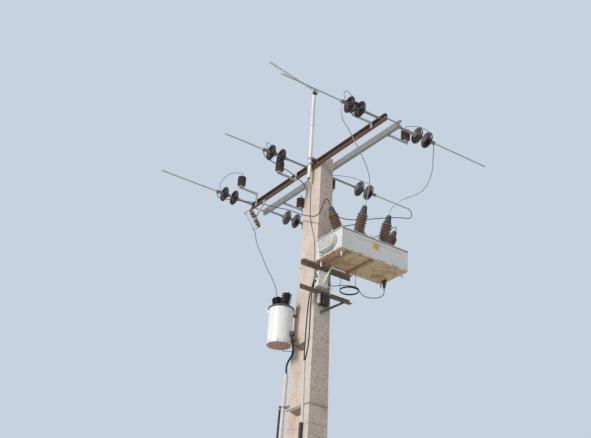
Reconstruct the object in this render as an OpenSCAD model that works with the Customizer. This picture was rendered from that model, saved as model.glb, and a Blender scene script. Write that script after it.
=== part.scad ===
// Concrete line pole with a gas-insulated switch and a small pole mounted transformer.
// Millimetres, Z up. X runs along the overhead line, Y along the crossarms.
// The origin is the centre of the pole where it leaves the ground.
// What the pole carries is placed by its distance below the pole's top.

/* [Pole] */
// Height of the pole above the ground
pole_h = 10250; // [9500:50:11500]
// Thickness of the pole along the line, at its top
pole_top_x = 220; // [200:5:260]
// Width of the pole along the crossarms, at its top
pole_top_y = 370; // [330:5:420]
// Thickness of the pole along the line, at the ground
pole_base_x = 470; // [420:10:560]
// Width of the pole along the crossarms, at the ground
pole_base_y = 820; // [740:10:900]
// Number of recesses in each wide face
recess_count = 6; // [3:1:6]
// Distance from one recess to the next
recess_pitch = 975; // [920:5:1000]
// Height of the mouth of a recess
recess_h = 840; // [700:10:860]
// Depth of a recess
recess_depth = 70; // [40:5:80]
// Height of the sloping ends of a recess
recess_slope = 80; // [50:5:120]
// Width of the sloping sides of a recess
recess_side = 90; // [60:5:100]
// Distance of the highest recess below the pole's top
recess_drop = 3090; // [3000:10:3200]
// Width of the flange on the switch's side
flange_front = 195; // [150:5:200]
// Width of the flange on the far side
flange_rear = 66; // [60:2:100]
// Diameter of the bolt holes through the pole
pole_hole_d = 24; // [23:1:30]

/* [Crossarms] */
// Length of each channel crossarm
arm_l = 3600; // [3440:20:4000]
// Depth of the channel
arm_h = 100; // [80:5:120]
// Width of the channel's flanges
arm_flange = 50; // [40:2:60]
// Thickness of the channel's web and flanges
arm_wall = 6; // [5:0.5:9]
// Distance of the crossarms' centre line below the pole's top
arm_drop = 120; // [100:5:200]
// Diameter of the bolts through pole and crossarms
tie_bolt_d = 20; // [16:1:22]

/* [Strain strings] */
// Distance of the outer phases from the pole's middle
phase_gap = 1700; // [1560:20:1700]
// Distance of the middle phase from the pole's middle, which clears the mast
phase_shift = 105; // [95:1:115]
// Diameter of a disc insulator
disc_d = 255; // [220:5:280]
// Distance between the two discs of a string
disc_pitch = 190; // [170:2:220]
// Distance from the crossarm to the first cap, outer phases
link_outer = 265; // [200:5:300]
// Distance from the crossarm to the first cap, middle phase, towards -X
link_middle_left = 400; // [350:5:450]
// Distance from the crossarm to the first cap, middle phase, towards +X
link_middle_right = 590; // [500:5:650]
// Length of the wire grips of the outer phases
grip_outer_l = 1050; // [800:10:1200]
// Length of the wire grips of the middle phase
grip_middle_l = 700; // [500:10:900]
// Diameter of the wire grips
grip_d = 18; // [14:1:24]

/* [Surge arresters] */
// Diameter of an arrester's sheds
arrester_d = 140; // [110:5:160]
// Height of an arrester
arrester_h = 190; // [160:5:240]
// Distance of the arresters from the pole's middle, along the line
arrester_x = 480; // [440:5:520]

/* [Switch] */
// Length of the switch tank along the line
switch_l = 1240; // [1180:10:1400]
// Width of the switch tank
switch_w = 630; // [600:10:700]
// Height of the switch tank
switch_h = 335; // [300:5:400]
// Distance of the tank's underside below the pole's top
switch_drop = 1900; // [1800:10:2000]
// Distance of the tank's middle from the pole's middle, along the line
switch_x = 435; // [380:5:480]
// Distance of the front and back bushings from the tank's middle, along the line
bushing_dx = 230; // [200:5:250]
// Distance of the front and back bushings from the tank's middle, across it
bushing_dy = 165; // [150:5:180]
// Distance of the two end bushings from the tank's middle
bushing_end = 415; // [395:5:450]
// Outward tilt of the front and back bushings, in degrees
bushing_tilt_side = 20; // [10:1:30]
// Outward tilt of the end bushings, in degrees
bushing_tilt_end = 24; // [10:1:30]
// Diameter of the porcelain sheds
shed_d = 165; // [150:5:180]
// Length of the porcelain
porcelain_l = 320; // [280:5:380]
// Length of the boot on a bushing
boot_l = 140; // [110:5:180]
// Length of the four pegs under the tank
peg_l = 90; // [60:5:120]

/* [Brackets] */
// Length of the two angle bars that stand against the pole
support_l = 900; // [860:10:1000]
// Leg of the angle bars
angle_leg = 75; // [65:5:90]
// Thickness of the angle bars
angle_t = 7; // [6:0.5:9]
// Distance of the lower angle bar below the tank
bracket_gap = 490; // [460:5:520]
// Height of the control box
box_h = 240; // [200:10:270]
// Width of the control box
box_w = 170; // [140:5:180]
// Depth of the control box
box_d = 90; // [70:5:100]

/* [Transformer] */
// Diameter of the transformer's tank
can_d = 358; // [330:2:380]
// Height of the transformer's tank
can_h = 560; // [500:10:620]
// Distance of the tank's underside below the pole's top
can_drop = 3120; // [3050:10:3200]
// Distance of the transformer's middle from the pole's middle, across the line
can_y = 265; // [230:5:290]
// Free space between the transformer's tank and the pole
can_gap = 45; // [35:5:90]

/* [Mast and antenna] */
// Outer diameter of the mast tube
mast_d = 60; // [50:1:66]
// Wall of the mast tube
mast_wall = 3; // [2:0.5:5]
// Height of the mast above the pole's top
mast_rise = 1270; // [1100:10:1500]
// Distance of the mast's foot below the pole's top
mast_foot_drop = 370; // [300:10:420]
// Length of the antenna boom
boom_l = 1130; // [1110:10:1250]
// Length of the antenna's elements
element_l = 150; // [120:5:180]

/* [Cut-out] */
// Distance of the cut-out from the pole's middle, along the crossarm
cutout_y = 1360; // [1300:10:1400]
// Length of the cut-out's insulator
cutout_l = 300; // [260:10:340]
// Lean of the cut-out, in degrees
cutout_lean = 38; // [25:1:45]

/* [Conduits] */
// Diameter of the pale conduit behind the pole
conduit_d = 60; // [50:1:70]
// Diameter of the thin conduit beside it
thin_conduit_d = 32; // [25:1:40]
// Diameter of the conduit on the switch's side
front_conduit_d = 50; // [40:1:60]
// Distance from one steel band to the next
band_pitch = 1800; // [1500:50:1900]
// Distance of the highest band below the pole's top
band_drop = 4055; // [4020:5:4090]

/* [Hidden] */

$fn = 32;
// Clearance between pieces that rest on each other
seat = 0.3;

// Half the pole's size at height z, along X and along Y
function pole_hx(z) = (pole_base_x + (pole_top_x - pole_base_x) * z / pole_h) / 2;
function pole_hy(z) = (pole_base_y + (pole_top_y - pole_base_y) * z / pole_h) / 2;

// Heights above the ground of what the pole carries
arm_z = pole_h - arm_drop;
switch_z = pole_h - switch_drop;
switch_top = switch_z + switch_h;
can_z = pole_h - can_drop;
recess_top_z = pole_h - recess_drop;
mast_top_z = pole_h + mast_rise;
mast_bottom_z = pole_h - mast_foot_drop;
band_top_z = pole_h - band_drop;
bracket_z = switch_z - bracket_gap;

// Bolt holes through the pole's narrow way, below its top, and those for the crossarms
head_hole_drops = [820, 670, 530, 420];
arm_bolt_y = [-120, 45];

// Crossarms: inner face of a web, outer edge of the flanges, places of the end bolts
arm_x = pole_hx(arm_z - arm_h / 2) + seat;
arm_edge = arm_x + arm_flange;
spacer_y = arm_l / 2 - 30;
bolt_play = 2;
nut_af = tie_bolt_d * 1.5;
nut_h = tie_bolt_d * 0.8;
washer_t = 4;

// Strain strings: cap, shell, pin and clamp
phase_y = [-phase_gap, phase_shift, phase_gap];
cap_d = 84;
cap_l = 72;
shell_l = 46;
pin_d = 22;
pin_seat = 20;
clevis_l = 110;
clevis_gap = 60;
clevis_wall = 8;
clevis_h = 40;
shackle_d = 16;
link_t = 12;
link_w = 44;
clevis_start = disc_pitch + cap_l + pin_seat + clevis_gap;
grip_start = clevis_start + clevis_l - 22 + shackle_d / 2 + seat;
grip_taper = 200;

// Arresters: places along the crossarms and heights of their feet above the arm's centre
arresters_left = [[-1490, 50], [430, -60], [1590, 180]];
arresters_right = [[-1500, -30], [360, -50], [1220, -40]];
arrester_core = 88;
arrester_cap_d = 68;
arrester_sheds = 5;
arrester_foot = 14;
bar_h = 40;
bar_t = 10;
bar_run = 40;

// Mast, boom and antenna
mast_x = -(arm_edge + mast_d / 2 + 6);
coupling_drop = 670;
coupling_h = 90;
mast_clamp_h = 30;
mast_clamp_z = [arm_z, arm_z + 95];
boom_side = 20;
boom_turn = 10;
boom_z = mast_top_z - 40;
element_d = 10;
element_at = [-1060, -780, -545, -360, -250, -90];

// Switch: the tank hangs on rails that lie on the upper angle bar
support_x0 = -410;
support_stand = 45;
rail_h = 30;
rail_w = 50;
rail_x = [-40, 380];
rail_inset = 30;
support_z = switch_z - rail_h - angle_leg - 2 * seat;
switch_y = -(pole_hy(switch_z) + support_stand + switch_w / 2);
lid_h = 12;
lid_rim = 6;
lid_lug_dx = 75;
corner_r = 18;
cover_w = 430;
cover_h = 235;
cover_t = 60;
turret_d = 150;
turret_l = 44;
shed_count = 9;
porcelain_d = 116;
round_plate = [420, 150];
round_plate_d = 210;
round_plate_t = 16;
long_plate = [330, 130, 10];
long_plate_y = 100;
plug_x = switch_x + 545;
plug_y = switch_y + 147;
plug_l = 140;
plug_d = 70;

// Lower bracket and what stands between it and the tank
brace_foot_z = bracket_z - 300;
brace_reach = [340, 400];
brace_t = 8;
box_x = -60;
box_z = bracket_z + angle_leg + 25;
box_y = -pole_hy(box_z) - seat;
rod_d = 26;
stick_d = 22;
stick_x = 100;
stick_top = bracket_z + 246;
joint_w = 120;
joint_d = 80;
joint_h = 165;
joint_x = 6;
post_x = -92;
post_l = 150;
coil_x = 421;
coil_y = -320;
coil_z = switch_z - 306;
coil_r = 142;
coil_tube = 30;
coil_hanger_turns = [-90, 157];
coil_hanger_d = 8;

// Transformer
can_x = -(pole_hx(can_z) + can_gap + can_d / 2);
lid_rise = 30;
lid_edge = 14;
hanger_w = 40;
hanger_z = [can_z + 120, can_z + can_h - 60];
can_bushing_core = 50;
can_bushing_shed = 78;
can_bushing_dy = 85;
can_bushing_lean = 15;
lug_h = 40;
terminal_w = 70;
terminal_h = 60;
terminal_z = can_z + 130;
terminal_turn = -60;

// Cut-out, in a frame whose Z axis runs up the insulator
cutout_x = -300;
cutout_z = arm_z - 450;
cutout_d = 90;
cutout_core = 56;
cutout_arm = 130;
cutout_band = 34;
fuse_tube_d = 30;

// Conduits stand on flat bars that lie on the pole's -X face
bracket_bar_t = 5;
bracket_bar_h = 40;
bracket_bar_rise = 45;
conduit_y = 42;
thin_conduit_y = 150;
front_conduit_y = 145;
conduit_top = [band_top_z + 560, band_top_z + 110, band_top_z - 255];
band_t = 3;
band_h = 20;
band_z = [for (k = [0 : 3]) if (band_top_z - k * band_pitch > 300) band_top_z - k * band_pitch];
clip_t = 3;
clip_h = 24;

// Routes of the cords, end to end, and diameters of cords and cables
near_left_route = [[-860, -1700, 10109.5], [-860, -1700, 10060], [-864, -1694, 9990],
    [-820, -1670, 9875], [-640, -1600, 9785], [-455, -1500, 9710], [-290, -1415, 9640],
    [-90, -1300, 9560], [90, -1165, 9430], [170, -1035, 9310], [204, -954, 9241],
    [205, -924, 9160]];
near_right_route = [[860, -1700, 10109.5], [860, -1700, 10050], [870, -1675, 9880],
    [910, -1610, 9720], [945, -1500, 9600], [940, -1370, 9495], [860, -1255, 9420],
    [750, -1150, 9365], [685, -1040, 9300], [666, -954, 9241], [665, -924, 9160]];
middle_left_route = [[-995, 105, 10109.5], [-995, 105, 10070], [-970, 108, 10025],
    [-860, 120, 10000], [-650, 145, 9985], [-450, 175, 9970], [-250, 220, 9940],
    [-60, 270, 9885], [90, 285, 9740], [180, 260, 9530], [310, 130, 9330],
    [460, -20, 9255], [600, -165, 9275], [658, -210, 9262], [665, -223, 9231],
    [665, -249, 9160]];
middle_right_route = [[1891, 105, 10130], [1925, 105, 10130], [1957, 103, 10100],
    [1965, 98, 10030], [1925, 85, 9960], [1700, 50, 9870], [1440, 0, 9762],
    [1150, -60, 9620], [860, -120, 9475], [600, -175, 9355], [400, -207, 9280],
    [265, -218, 9262], [213, -222, 9245], [205, -228, 9218], [205, -249, 9160]];
far_left_route = [[-860, 1700, 10109.5], [-860, 1700, 10070], [-838, 1680, 10015],
    [-700, 1570, 9980], [-500, 1400, 9950], [-350, 1100, 9830], [-285, 750, 9640],
    [-250, 400, 9455], [-232, 100, 9265], [-232, -150, 9135], [-250, -350, 9060],
    [-275, -500, 9080], [-275, -563, 9165], [-262, -585, 9222], [-240, -587, 9240],
    [-219, -587, 9222], [-185.5, -587, 9146.6]];
far_right_route = [[860, 1700, 10109.5], [860, 1700, 10060], [868, 1670, 9975],
    [890, 1560, 9860], [950, 1200, 9660], [1020, 800, 9480], [1070, 400, 9350],
    [1105, 0, 9285], [1115, -350, 9270], [1106, -520, 9268], [1091, -580, 9227],
    [1055.6, -587, 9146.6]];
fuse_route = [[-299, 1360, 9467], [-283, 1360, 9446.5], [-274, 1345, 9380],
    [-272, 1280, 9200], [-270, 1140, 8980], [-300, 900, 8650], [-345, 640, 8350],
    [-366, 500, 8170], [-372, 448, 8085], [-372, 426, 8003], [-372, 410.2, 7945.2]];
control_route = [[980, -440, 8209.4], [980, -440, 8150], [968, -436, 8100],
    [925, -410, 8060], [860, -372, 8040], [780, -345, 8032], [700, -343, 8036],
    [635, -361, 8042], [565.5, -400.5, 8044]];
control_tail_route = [[277.5, -401, 8044], [220, -368, 8040], [160, -333, 8030],
    [110, -312, 8028], [68, -301, 8046], [50, -297, 8058], [25.4, -296, 8060]];
jumper_d = 14;
fuse_lead_d = 10;
control_cable_d = 12;
front_cable_d = 16;
rear_cable_d = 30;
feeder_d = 10;
cable_cover_t = 18;
cable_cover_w = 40;
cover_top_y = 98;
earth_d = 8;
// Bends of the cables on the pole's face: places across it, and heights
cover_top_z = conduit_top[0] + 102;
front_left_y = [-170, -117, -80, -88];
front_left_z = [box_z + 40, bracket_z + 10, cover_top_z + 248, cover_top_z];
front_right_y = [-200, -167, -165, -108];
front_right_z = [box_z + 15, bracket_z + 10, cover_top_z + 223, cover_top_z];
rear_cable_y = 205;
rear_cable_z = can_z - 70;
feeder_y = [45, 16, -146, -190, -205];
feeder_z = [mast_bottom_z - 100, mast_bottom_z - 620, switch_top + 65, switch_z + 40, box_z + 230];
earth_z = [can_z - 40, can_z - 100];
// Outwards lean of the pole's wide faces
pole_lean = atan((pole_base_x - pole_top_x) / 2 / pole_h);

// Point on the pole's -X face, off the face by out, at y and z
function on_face(out, y, z) = [-pole_hx(z) - out, y, z];

// Unit vector, and a ring of points around a route
function unit(v) = v / norm(v);
function heading(p, i) = unit(p[min(i + 1, len(p) - 1)] - p[max(i - 1, 0)]);
function ring(c, t, aside, r, sides) =
    let (n = unit(cross(t, aside)), m = cross(t, n))
    [for (k = [0 : sides - 1]) c + r * (cos(360 * k / sides) * n + sin(360 * k / sides) * m)];

// Closed tube of one diameter along the points of a route
module tube(p, d, aside, sides = 8) {
    points = [for (i = [0 : len(p) - 1]) each ring(p[i], heading(p, i), aside, d / 2, sides)];
    last = len(p) - 1;
    walls = [for (i = [0 : last - 1], k = [0 : sides - 1])
        let (a = i * sides + k, b = i * sides + (k + 1) % sides)
        each [[a, a + sides, b + sides], [a, b + sides, b]]];
    ends = [[for (k = [0 : sides - 1]) k], [for (k = [sides - 1 : -1 : 0]) last * sides + k]];
    polyhedron(points, concat(walls, ends));
}

// Straight round bar between two points
module rod(a, b, d) {
    v = b - a;
    translate(a)
        rotate([0, acos(v[2] / norm(v)), atan2(v[1], v[0])])
            cylinder(d = d, h = norm(v));
}

// Rectangle with round corners, and one with round ends
module round_rectangle(l, w, r) {
    square([l - 2 * r, w], center = true);
    square([l, w - 2 * r], center = true);
    for (sx = [-1, 1], sy = [-1, 1])
        translate([sx * (l / 2 - r), sy * (w / 2 - r)]) circle(r = r);
}

module stadium(l, w) {
    square([l - w, w], center = true);
    for (s = [-1, 1])
        translate([s * (l - w) / 2, 0]) circle(d = w);
}

module pole_outline_xz() {
    polygon([[-pole_base_x / 2, 0], [pole_base_x / 2, 0],
        [pole_top_x / 2, pole_h], [-pole_top_x / 2, pole_h]]);
}

module pole_outline_yz() {
    polygon([[-pole_base_y / 2, 0], [pole_base_y / 2, 0],
        [pole_top_y / 2, pole_h], [-pole_top_y / 2, pole_h]]);
}

// Side view of one recess in the -X face, whose top edge is at height top
module recess_profile(top) {
    low = top - recess_h;
    lip = 5;
    polygon([[-pole_hx(top) - lip, top + lip * recess_slope / recess_depth],
        [-pole_hx(top) + recess_depth, top - recess_slope],
        [-pole_hx(low) + recess_depth, low + recess_slope],
        [-pole_hx(low) - lip, low - lip * recess_slope / recess_depth]]);
}

// Half-space on the middle's side of a recess's sloping side, which follows the pole's taper
module recess_side_cut(sy, flange) {
    lean_x = atan((pole_base_x - pole_top_x) / 2 / pole_h);
    lean_y = atan((pole_base_y - pole_top_y) / 2 / pole_h);
    reach = pole_base_y;
    translate([-pole_base_x / 2, sy * (pole_base_y / 2 - flange), 0])
        rotate([sy * lean_y, lean_x, 0])
            rotate([0, 0, -sy * atan(recess_side / recess_depth)])
                translate([-reach, sy > 0 ? -reach : 0, -reach])
                    cube([2 * reach, reach, pole_h + 2 * reach]);
}

module recess_row() {
    intersection() {
        rotate([90, 0, 0])
            linear_extrude(height = pole_base_y, center = true)
                for (i = [0 : recess_count - 1])
                    recess_profile(recess_top_z - i * recess_pitch);
        recess_side_cut(-1, flange_front);
        recess_side_cut(1, flange_rear);
    }
}

module pole() {
    color("#cdbba2")
    difference() {
        intersection() {
            rotate([90, 0, 0])
                linear_extrude(height = pole_base_y * 2, center = true)
                    pole_outline_xz();
            rotate([90, 0, 90])
                linear_extrude(height = pole_base_x * 2, center = true)
                    pole_outline_yz();
        }
        recess_row();
        mirror([1, 0, 0]) recess_row();
        for (drop = head_hole_drops)
            translate([0, 0, pole_h - drop])
                rotate([90, 0, 0])
                    cylinder(d = pole_hole_d, h = pole_base_y, center = true);
        for (y = arm_bolt_y)
            translate([0, y, arm_z])
                rotate([0, 90, 0])
                    cylinder(d = pole_hole_d, h = pole_base_x, center = true);
    }
}

// Channel along Y with its web at x = 0 and its flanges towards +X
module channel(length, depth, flange, wall) {
    rotate([90, 0, 0])
        linear_extrude(height = length, center = true)
            polygon([[0, -depth / 2], [flange, -depth / 2], [flange, -depth / 2 + wall],
                [wall, -depth / 2 + wall], [wall, depth / 2 - wall],
                [flange, depth / 2 - wall], [flange, depth / 2], [0, depth / 2]]);
}

module crossarm() {
    difference() {
        translate([arm_x, 0, arm_z])
            channel(arm_l, arm_h, arm_flange, arm_wall);
        for (y = concat(arm_bolt_y, [-spacer_y, spacer_y], phase_y))
            translate([0, y, arm_z])
                rotate([0, 90, 0])
                    cylinder(d = tie_bolt_d + bolt_play, h = 2 * arm_edge);
    }
}

module rusty_crossarm() {
    color("#5c4033") mirror([1, 0, 0]) crossarm();
}

module galvanised_crossarm() {
    color("#9a9a96") crossarm();
}

// Bolt along X with a washer and a nut outside each web
module tie_bolt() {
    reach = arm_x + arm_wall + seat;
    rotate([0, 90, 0]) {
        cylinder(d = tie_bolt_d, h = 2 * (reach + washer_t + nut_h + tie_bolt_d / 2), center = true);
        for (s = [-1, 1]) {
            translate([0, 0, s * (reach + washer_t / 2)])
                cylinder(d = 2 * tie_bolt_d, h = washer_t, center = true);
            translate([0, 0, s * (reach + washer_t + nut_h / 2)])
                cylinder(d = nut_af * 1.15, h = nut_h, center = true, $fn = 6);
        }
    }
}

module crossarm_bolts() {
    color("#8d8f90")
    for (y = concat(arm_bolt_y, [-spacer_y, spacer_y]))
        translate([0, y, arm_z]) tie_bolt();
}

// Start of a string's first cap, measured from the pole's middle
function string_start(side, i) = arm_edge
    + (i != 1 ? link_outer : side < 0 ? link_middle_left : link_middle_right);

// Moves a child to a string, whose +Z axis runs outwards from its first cap
module string_frame(side, i) {
    translate([side * string_start(side, i), phase_y[i], arm_z])
        rotate([0, side * 90, 0])
            children();
}

// Point on a string, at a distance from its first cap
function string_point(side, i, along) = [side * (string_start(side, i) + along), phase_y[i], arm_z];

module disc_shell() {
    rotate_extrude()
        polygon([[0, cap_l], [cap_d / 2, cap_l], [cap_d / 2 + 16, cap_l + 4],
            [disc_d / 2 - 14, cap_l + 20], [disc_d / 2, cap_l + 32],
            [disc_d / 2 - 2, cap_l + shell_l], [disc_d / 2 - 12, cap_l + shell_l],
            [disc_d / 2 - 16, cap_l + 34], [disc_d / 2 - 30, cap_l + 30],
            [disc_d / 2 - 34, cap_l + shell_l + 6], [disc_d / 2 - 42, cap_l + shell_l + 6],
            [disc_d / 2 - 46, cap_l + 26], [cap_d / 2 + 8, cap_l + 24],
            [cap_d / 2, cap_l + shell_l], [cap_d / 2 - 8, cap_l + shell_l],
            [cap_d / 2 - 14, cap_l + pin_seat], [0, cap_l + pin_seat]]);
}

module disc_cap() {
    rotate_extrude()
        polygon([[0, 0], [18, 0], [22, 8], [30, 22], [cap_d / 2 - 4, 34],
            [cap_d / 2, cap_l - 8], [cap_d / 2, cap_l - seat], [0, cap_l - seat]]);
}

module strain_discs(side) {
    color("#2b1d19")
    for (i = [0 : 2], k = [0 : 1])
        string_frame(side, i)
            translate([0, 0, k * disc_pitch]) disc_shell();
}

// Clevis and thimble that join a string to its wire grip
module strain_clevis() {
    for (s = [-1, 1])
        translate([s * 2 * clevis_wall, 0, clevis_l / 2])
            cube([clevis_wall, clevis_h, clevis_l], center = true);
    cube([clevis_h, clevis_h, 14], center = true);
    translate([0, 0, clevis_l - 22])
        rotate([0, 90, 0])
            cylinder(d = shackle_d, h = 56, center = true);
}

module strain_caps() {
    pin_start = cap_l + pin_seat + seat;
    color("#6f6a64")
    for (side = [-1, 1], i = [0 : 2])
        string_frame(side, i) {
            translate([0, 0, disc_pitch]) disc_cap();
            translate([0, 0, pin_start])
                cylinder(d = pin_d, h = disc_pitch - pin_start + seat);
            translate([0, 0, disc_pitch + pin_start])
                cylinder(d = pin_d, h = clevis_gap + 10);
            translate([0, 0, clevis_start]) strain_clevis();
        }
}

module strain_links() {
    color("#8f8c86")
    for (side = [-1, 1], i = [0 : 2])
        string_frame(side, i) {
            run = string_start(side, i) - arm_x - arm_wall;
            eye = run - 60;
            disc_cap();
            translate([0, 0, -eye])
                linear_extrude(height = eye + 6)
                    square([link_t, link_w], center = true);
            translate([0, 0, -run - arm_wall])
                cylinder(d = tie_bolt_d, h = 80);
            translate([0, 0, -run + seat])
                cylinder(d = 46, h = nut_h, $fn = 6);
        }
}

module wire_grip(length) {
    cylinder(d = grip_d, h = length - grip_taper);
    translate([0, 0, length - grip_taper])
        cylinder(d1 = grip_d, d2 = grip_d * 0.55, h = grip_taper);
    cylinder(d = grip_d * 1.7, h = 60);
}

module wire_grips(side) {
    color("#c9c8c4")
    for (i = [0 : 2])
        string_frame(side, i)
            translate([0, 0, grip_start]) wire_grip(i == 1 ? grip_middle_l : grip_outer_l);
}

module arrester() {
    pitch = (arrester_h - 30) / arrester_sheds;
    rotate_extrude()
        polygon(concat([[0, 0], [arrester_cap_d / 2, 0]],
            [for (k = [0 : arrester_sheds - 1], p = [[arrester_core / 2, 12], [arrester_d / 2, 8],
                [arrester_d / 2, 13], [arrester_core / 2, 24]]) [p[0], p[1] + k * pitch]],
            [[arrester_cap_d / 2, arrester_h - 12], [arrester_cap_d / 2, arrester_h],
                [0, arrester_h]]));
}

// Foot of an arrester, and the top of its stud
function arrester_at(side, p) = [side * arrester_x, p[0], arm_z + p[1] + arrester_foot];
function arrester_stud(side, p) = arrester_at(side, p) + [0, 0, arrester_h + 30];

module arresters(side, places) {
    color("#6b4a33")
    for (p = places) {
        translate(arrester_at(side, p)) arrester();
        rod(arrester_at(side, p) + [0, 0, arrester_h - 1], arrester_stud(side, p), 14);
    }
}

// Flat bar that stands off one crossarm and carries an arrester on its end
module arrester_bracket(side, y, up) {
    inner = arm_edge + seat;
    low = min(up - bar_h, -arm_h / 2);
    mirror([side < 0 ? 1 : 0, 0, 0])
        translate([0, y, arm_z]) {
            translate([inner, -bar_t / 2, up - bar_h])
                cube([arrester_x + bar_run - inner, bar_t, bar_h]);
            translate([arrester_x, 0, up - bar_t / 2])
                cube([2 * bar_run, 50, bar_t], center = true);
            translate([arrester_x, 0, up - 1])
                cylinder(d = 60, h = arrester_foot + 1 - seat);
            translate([inner, -25, low])
                cube([8, 50, max(up, arm_h / 2) - low]);
        }
}

module arrester_brackets() {
    color("#b5b3ad") {
        for (p = arresters_left) arrester_bracket(-1, p[0], p[1]);
        for (p = arresters_right) arrester_bracket(1, p[0], p[1]);
    }
}

// Wires from the arresters' studs to the clevises of the nearest strings
module arrester_leads() {
    lead_d = 9;
    color("#8f9193") {
        arrester_lead(-1, arresters_left[0], 0, lead_d);
        arrester_lead(-1, arresters_left[1], 1, lead_d);
        arrester_lead(-1, arresters_left[2], 2, lead_d);
        arrester_lead(1, arresters_right[0], 0, lead_d);
        arrester_lead(1, arresters_right[1], 1, lead_d);
        arrester_lead(1, arresters_right[2], 2, lead_d);
    }
}

module arrester_lead(side, p, i, d) {
    stud = arrester_stud(side, p) + [0, 0, seat];
    clevis = string_point(side, i, clevis_start + 30) + [0, 0, clevis_h / 2 + seat];
    middle = (stud + clevis) / 2 + [side * 60, 0, 150];
    aside = [stud[1] - clevis[1], clevis[0] - stud[0], 0];
    tube([stud, stud + [0, 0, 24], middle, clevis + [side * 30, 0, 110], clevis + [0, 0, 40],
        clevis], d, aside);
}

// Conductors between the strings, the bushings and the transformer
module jumper(route, aside) {
    color("#8b8c8c") tube(route, jumper_d, aside);
}

module fuse_lead() {
    color("#3a3b3d") tube(fuse_route, fuse_lead_d, [1, 0.2, 0.1]);
}

module mast_tube() {
    color("#e6e6e4")
    translate([mast_x, 0, 0])
        difference() {
            union() {
                translate([0, 0, mast_bottom_z])
                    cylinder(d = mast_d, h = mast_top_z - mast_bottom_z);
                translate([0, 0, mast_top_z - coupling_drop])
                    cylinder(d = mast_d + 12, h = coupling_h);
            }
            translate([0, 0, mast_bottom_z - 1])
                cylinder(d = mast_d - 2 * mast_wall, h = mast_top_z - mast_bottom_z - 4);
        }
}

module mast_clamps() {
    color("#8c8a84")
    for (z = mast_clamp_z)
        translate([mast_x, 0, z - mast_clamp_h / 2])
            difference() {
                union() {
                    cylinder(d = mast_d + 16, h = mast_clamp_h);
                    translate([0, -60, 0])
                        cube([-mast_x - pole_hx(z) - seat, 120, mast_clamp_h]);
                }
                translate([0, 0, -1]) cylinder(d = mast_d + 2 * seat, h = mast_clamp_h + 2);
                if (z == arm_z)
                    translate([-mast_x - arm_edge - seat, -100, -1])
                        cube([200, 200, mast_clamp_h + 2]);
            }
}

module boom_frame() {
    translate([mast_x, -mast_d / 2 - boom_side / 2 - 14, boom_z])
        rotate([0, 0, boom_turn])
            children();
}

module antenna_boom() {
    color("#b9b9b6")
    boom_frame()
        translate([-boom_l + 60, -boom_side / 2, -boom_side / 2])
            cube([boom_l, boom_side, boom_side]);
}

module antenna_elements() {
    color("#d5d5d2")
    boom_frame()
        for (x = element_at)
            translate([x, -(boom_side + element_d) / 2 - seat, 0])
                cylinder(d = element_d, h = element_l, center = true, $fn = 12);
}

module antenna_clamp() {
    color("#3a3a3a")
    difference() {
        boom_frame()
            translate([-35, boom_side / 2 + seat, -45])
                cube([70, 34, 90]);
        translate([mast_x, 0, boom_z - 60])
            cylinder(d = mast_d + 2 * seat, h = 120);
    }
}

// Moves a child to the cut-out, whose +Z axis leans outwards
module cutout_frame() {
    translate([cutout_x, cutout_y, cutout_z])
        rotate([0, -cutout_lean, 0])
            children();
}

module cutout_insulator() {
    sheds = 5;
    pitch = (cutout_l - 60) / sheds;
    color("#7a5a45")
    cutout_frame()
        translate([0, 0, -cutout_l / 2])
            rotate_extrude()
                polygon(concat([[0, 0], [cutout_core / 2, 0], [cutout_core / 2, 28]],
                    [for (k = [0 : sheds - 1], p = [[cutout_core / 2, 2], [cutout_d / 2, 6],
                        [cutout_d / 2, 12], [cutout_core / 2, pitch * 0.7]])
                        if (k != 2) [p[0], 30 + p[1] + k * pitch]],
                    [[cutout_core / 2, cutout_l], [0, cutout_l]]));
}

// Collar in the middle of the insulator, the bar to the crossarm, and the two contact arms
module cutout_bracket() {
    low = -cutout_l / 2;
    color("#b0a79c") {
        difference() {
            union() {
                cutout_frame()
                    cylinder(d = cutout_core + 24, h = cutout_band, center = true);
                rod([cutout_x, cutout_y, cutout_z],
                    [-arm_x - arm_flange / 2, cutout_y, arm_z - arm_h / 2 - 12], 30);
            }
            cutout_frame()
                cylinder(d = cutout_core + 2 * seat, h = cutout_l, center = true);
            for (s = [-1, 1])
                cutout_frame()
                    translate([0, 0, s * (cutout_band + cutout_l) / 2])
                        cylinder(d = cutout_d + 2, h = cutout_l, center = true);
        }
        translate([-arm_x - arm_flange, cutout_y - 30, arm_z - arm_h / 2 - 12 - seat])
            cube([arm_flange, 60, 12]);
        for (s = [-1, 1])
            cutout_frame()
                translate([-cutout_arm - 20, -15, s * (cutout_l / 2 + seat + 6) - 6])
                    cube([cutout_arm + 40, 30, 12]);
    }
}

module cutout_fuse_tube() {
    color("#e4e3df")
    cutout_frame()
        translate([-cutout_arm, 0, 0])
            cylinder(d = fuse_tube_d, h = cutout_l, center = true);
}

module switch_tank() {
    color("#d9d9d4")
    translate([switch_x, switch_y, switch_z]) {
        linear_extrude(height = switch_h - lid_h)
            round_rectangle(switch_l, switch_w, corner_r);
        translate([-400, -switch_w / 2 - 6, switch_h - 70])
            cube([860, 12, 10]);
    }
}

module switch_lid() {
    color("#dededa")
    translate([switch_x, switch_y, switch_top - lid_h + seat]) {
        linear_extrude(height = lid_h - seat)
            round_rectangle(switch_l + 2 * lid_rim, switch_w + 2 * lid_rim, corner_r);
        for (sx = [-1, 1], sy = [-1, 1])
            translate([sx * lid_lug_dx, sy * (switch_w / 2 - 20), lid_h - 1])
                rotate([90, 0, 0])
                    linear_extrude(height = 10, center = true)
                        difference() {
                            union() {
                                translate([0, 12]) square([50, 24], center = true);
                                translate([0, 24]) circle(d = 50);
                            }
                            translate([0, 26]) circle(d = 22);
                        }
    }
}

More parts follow.
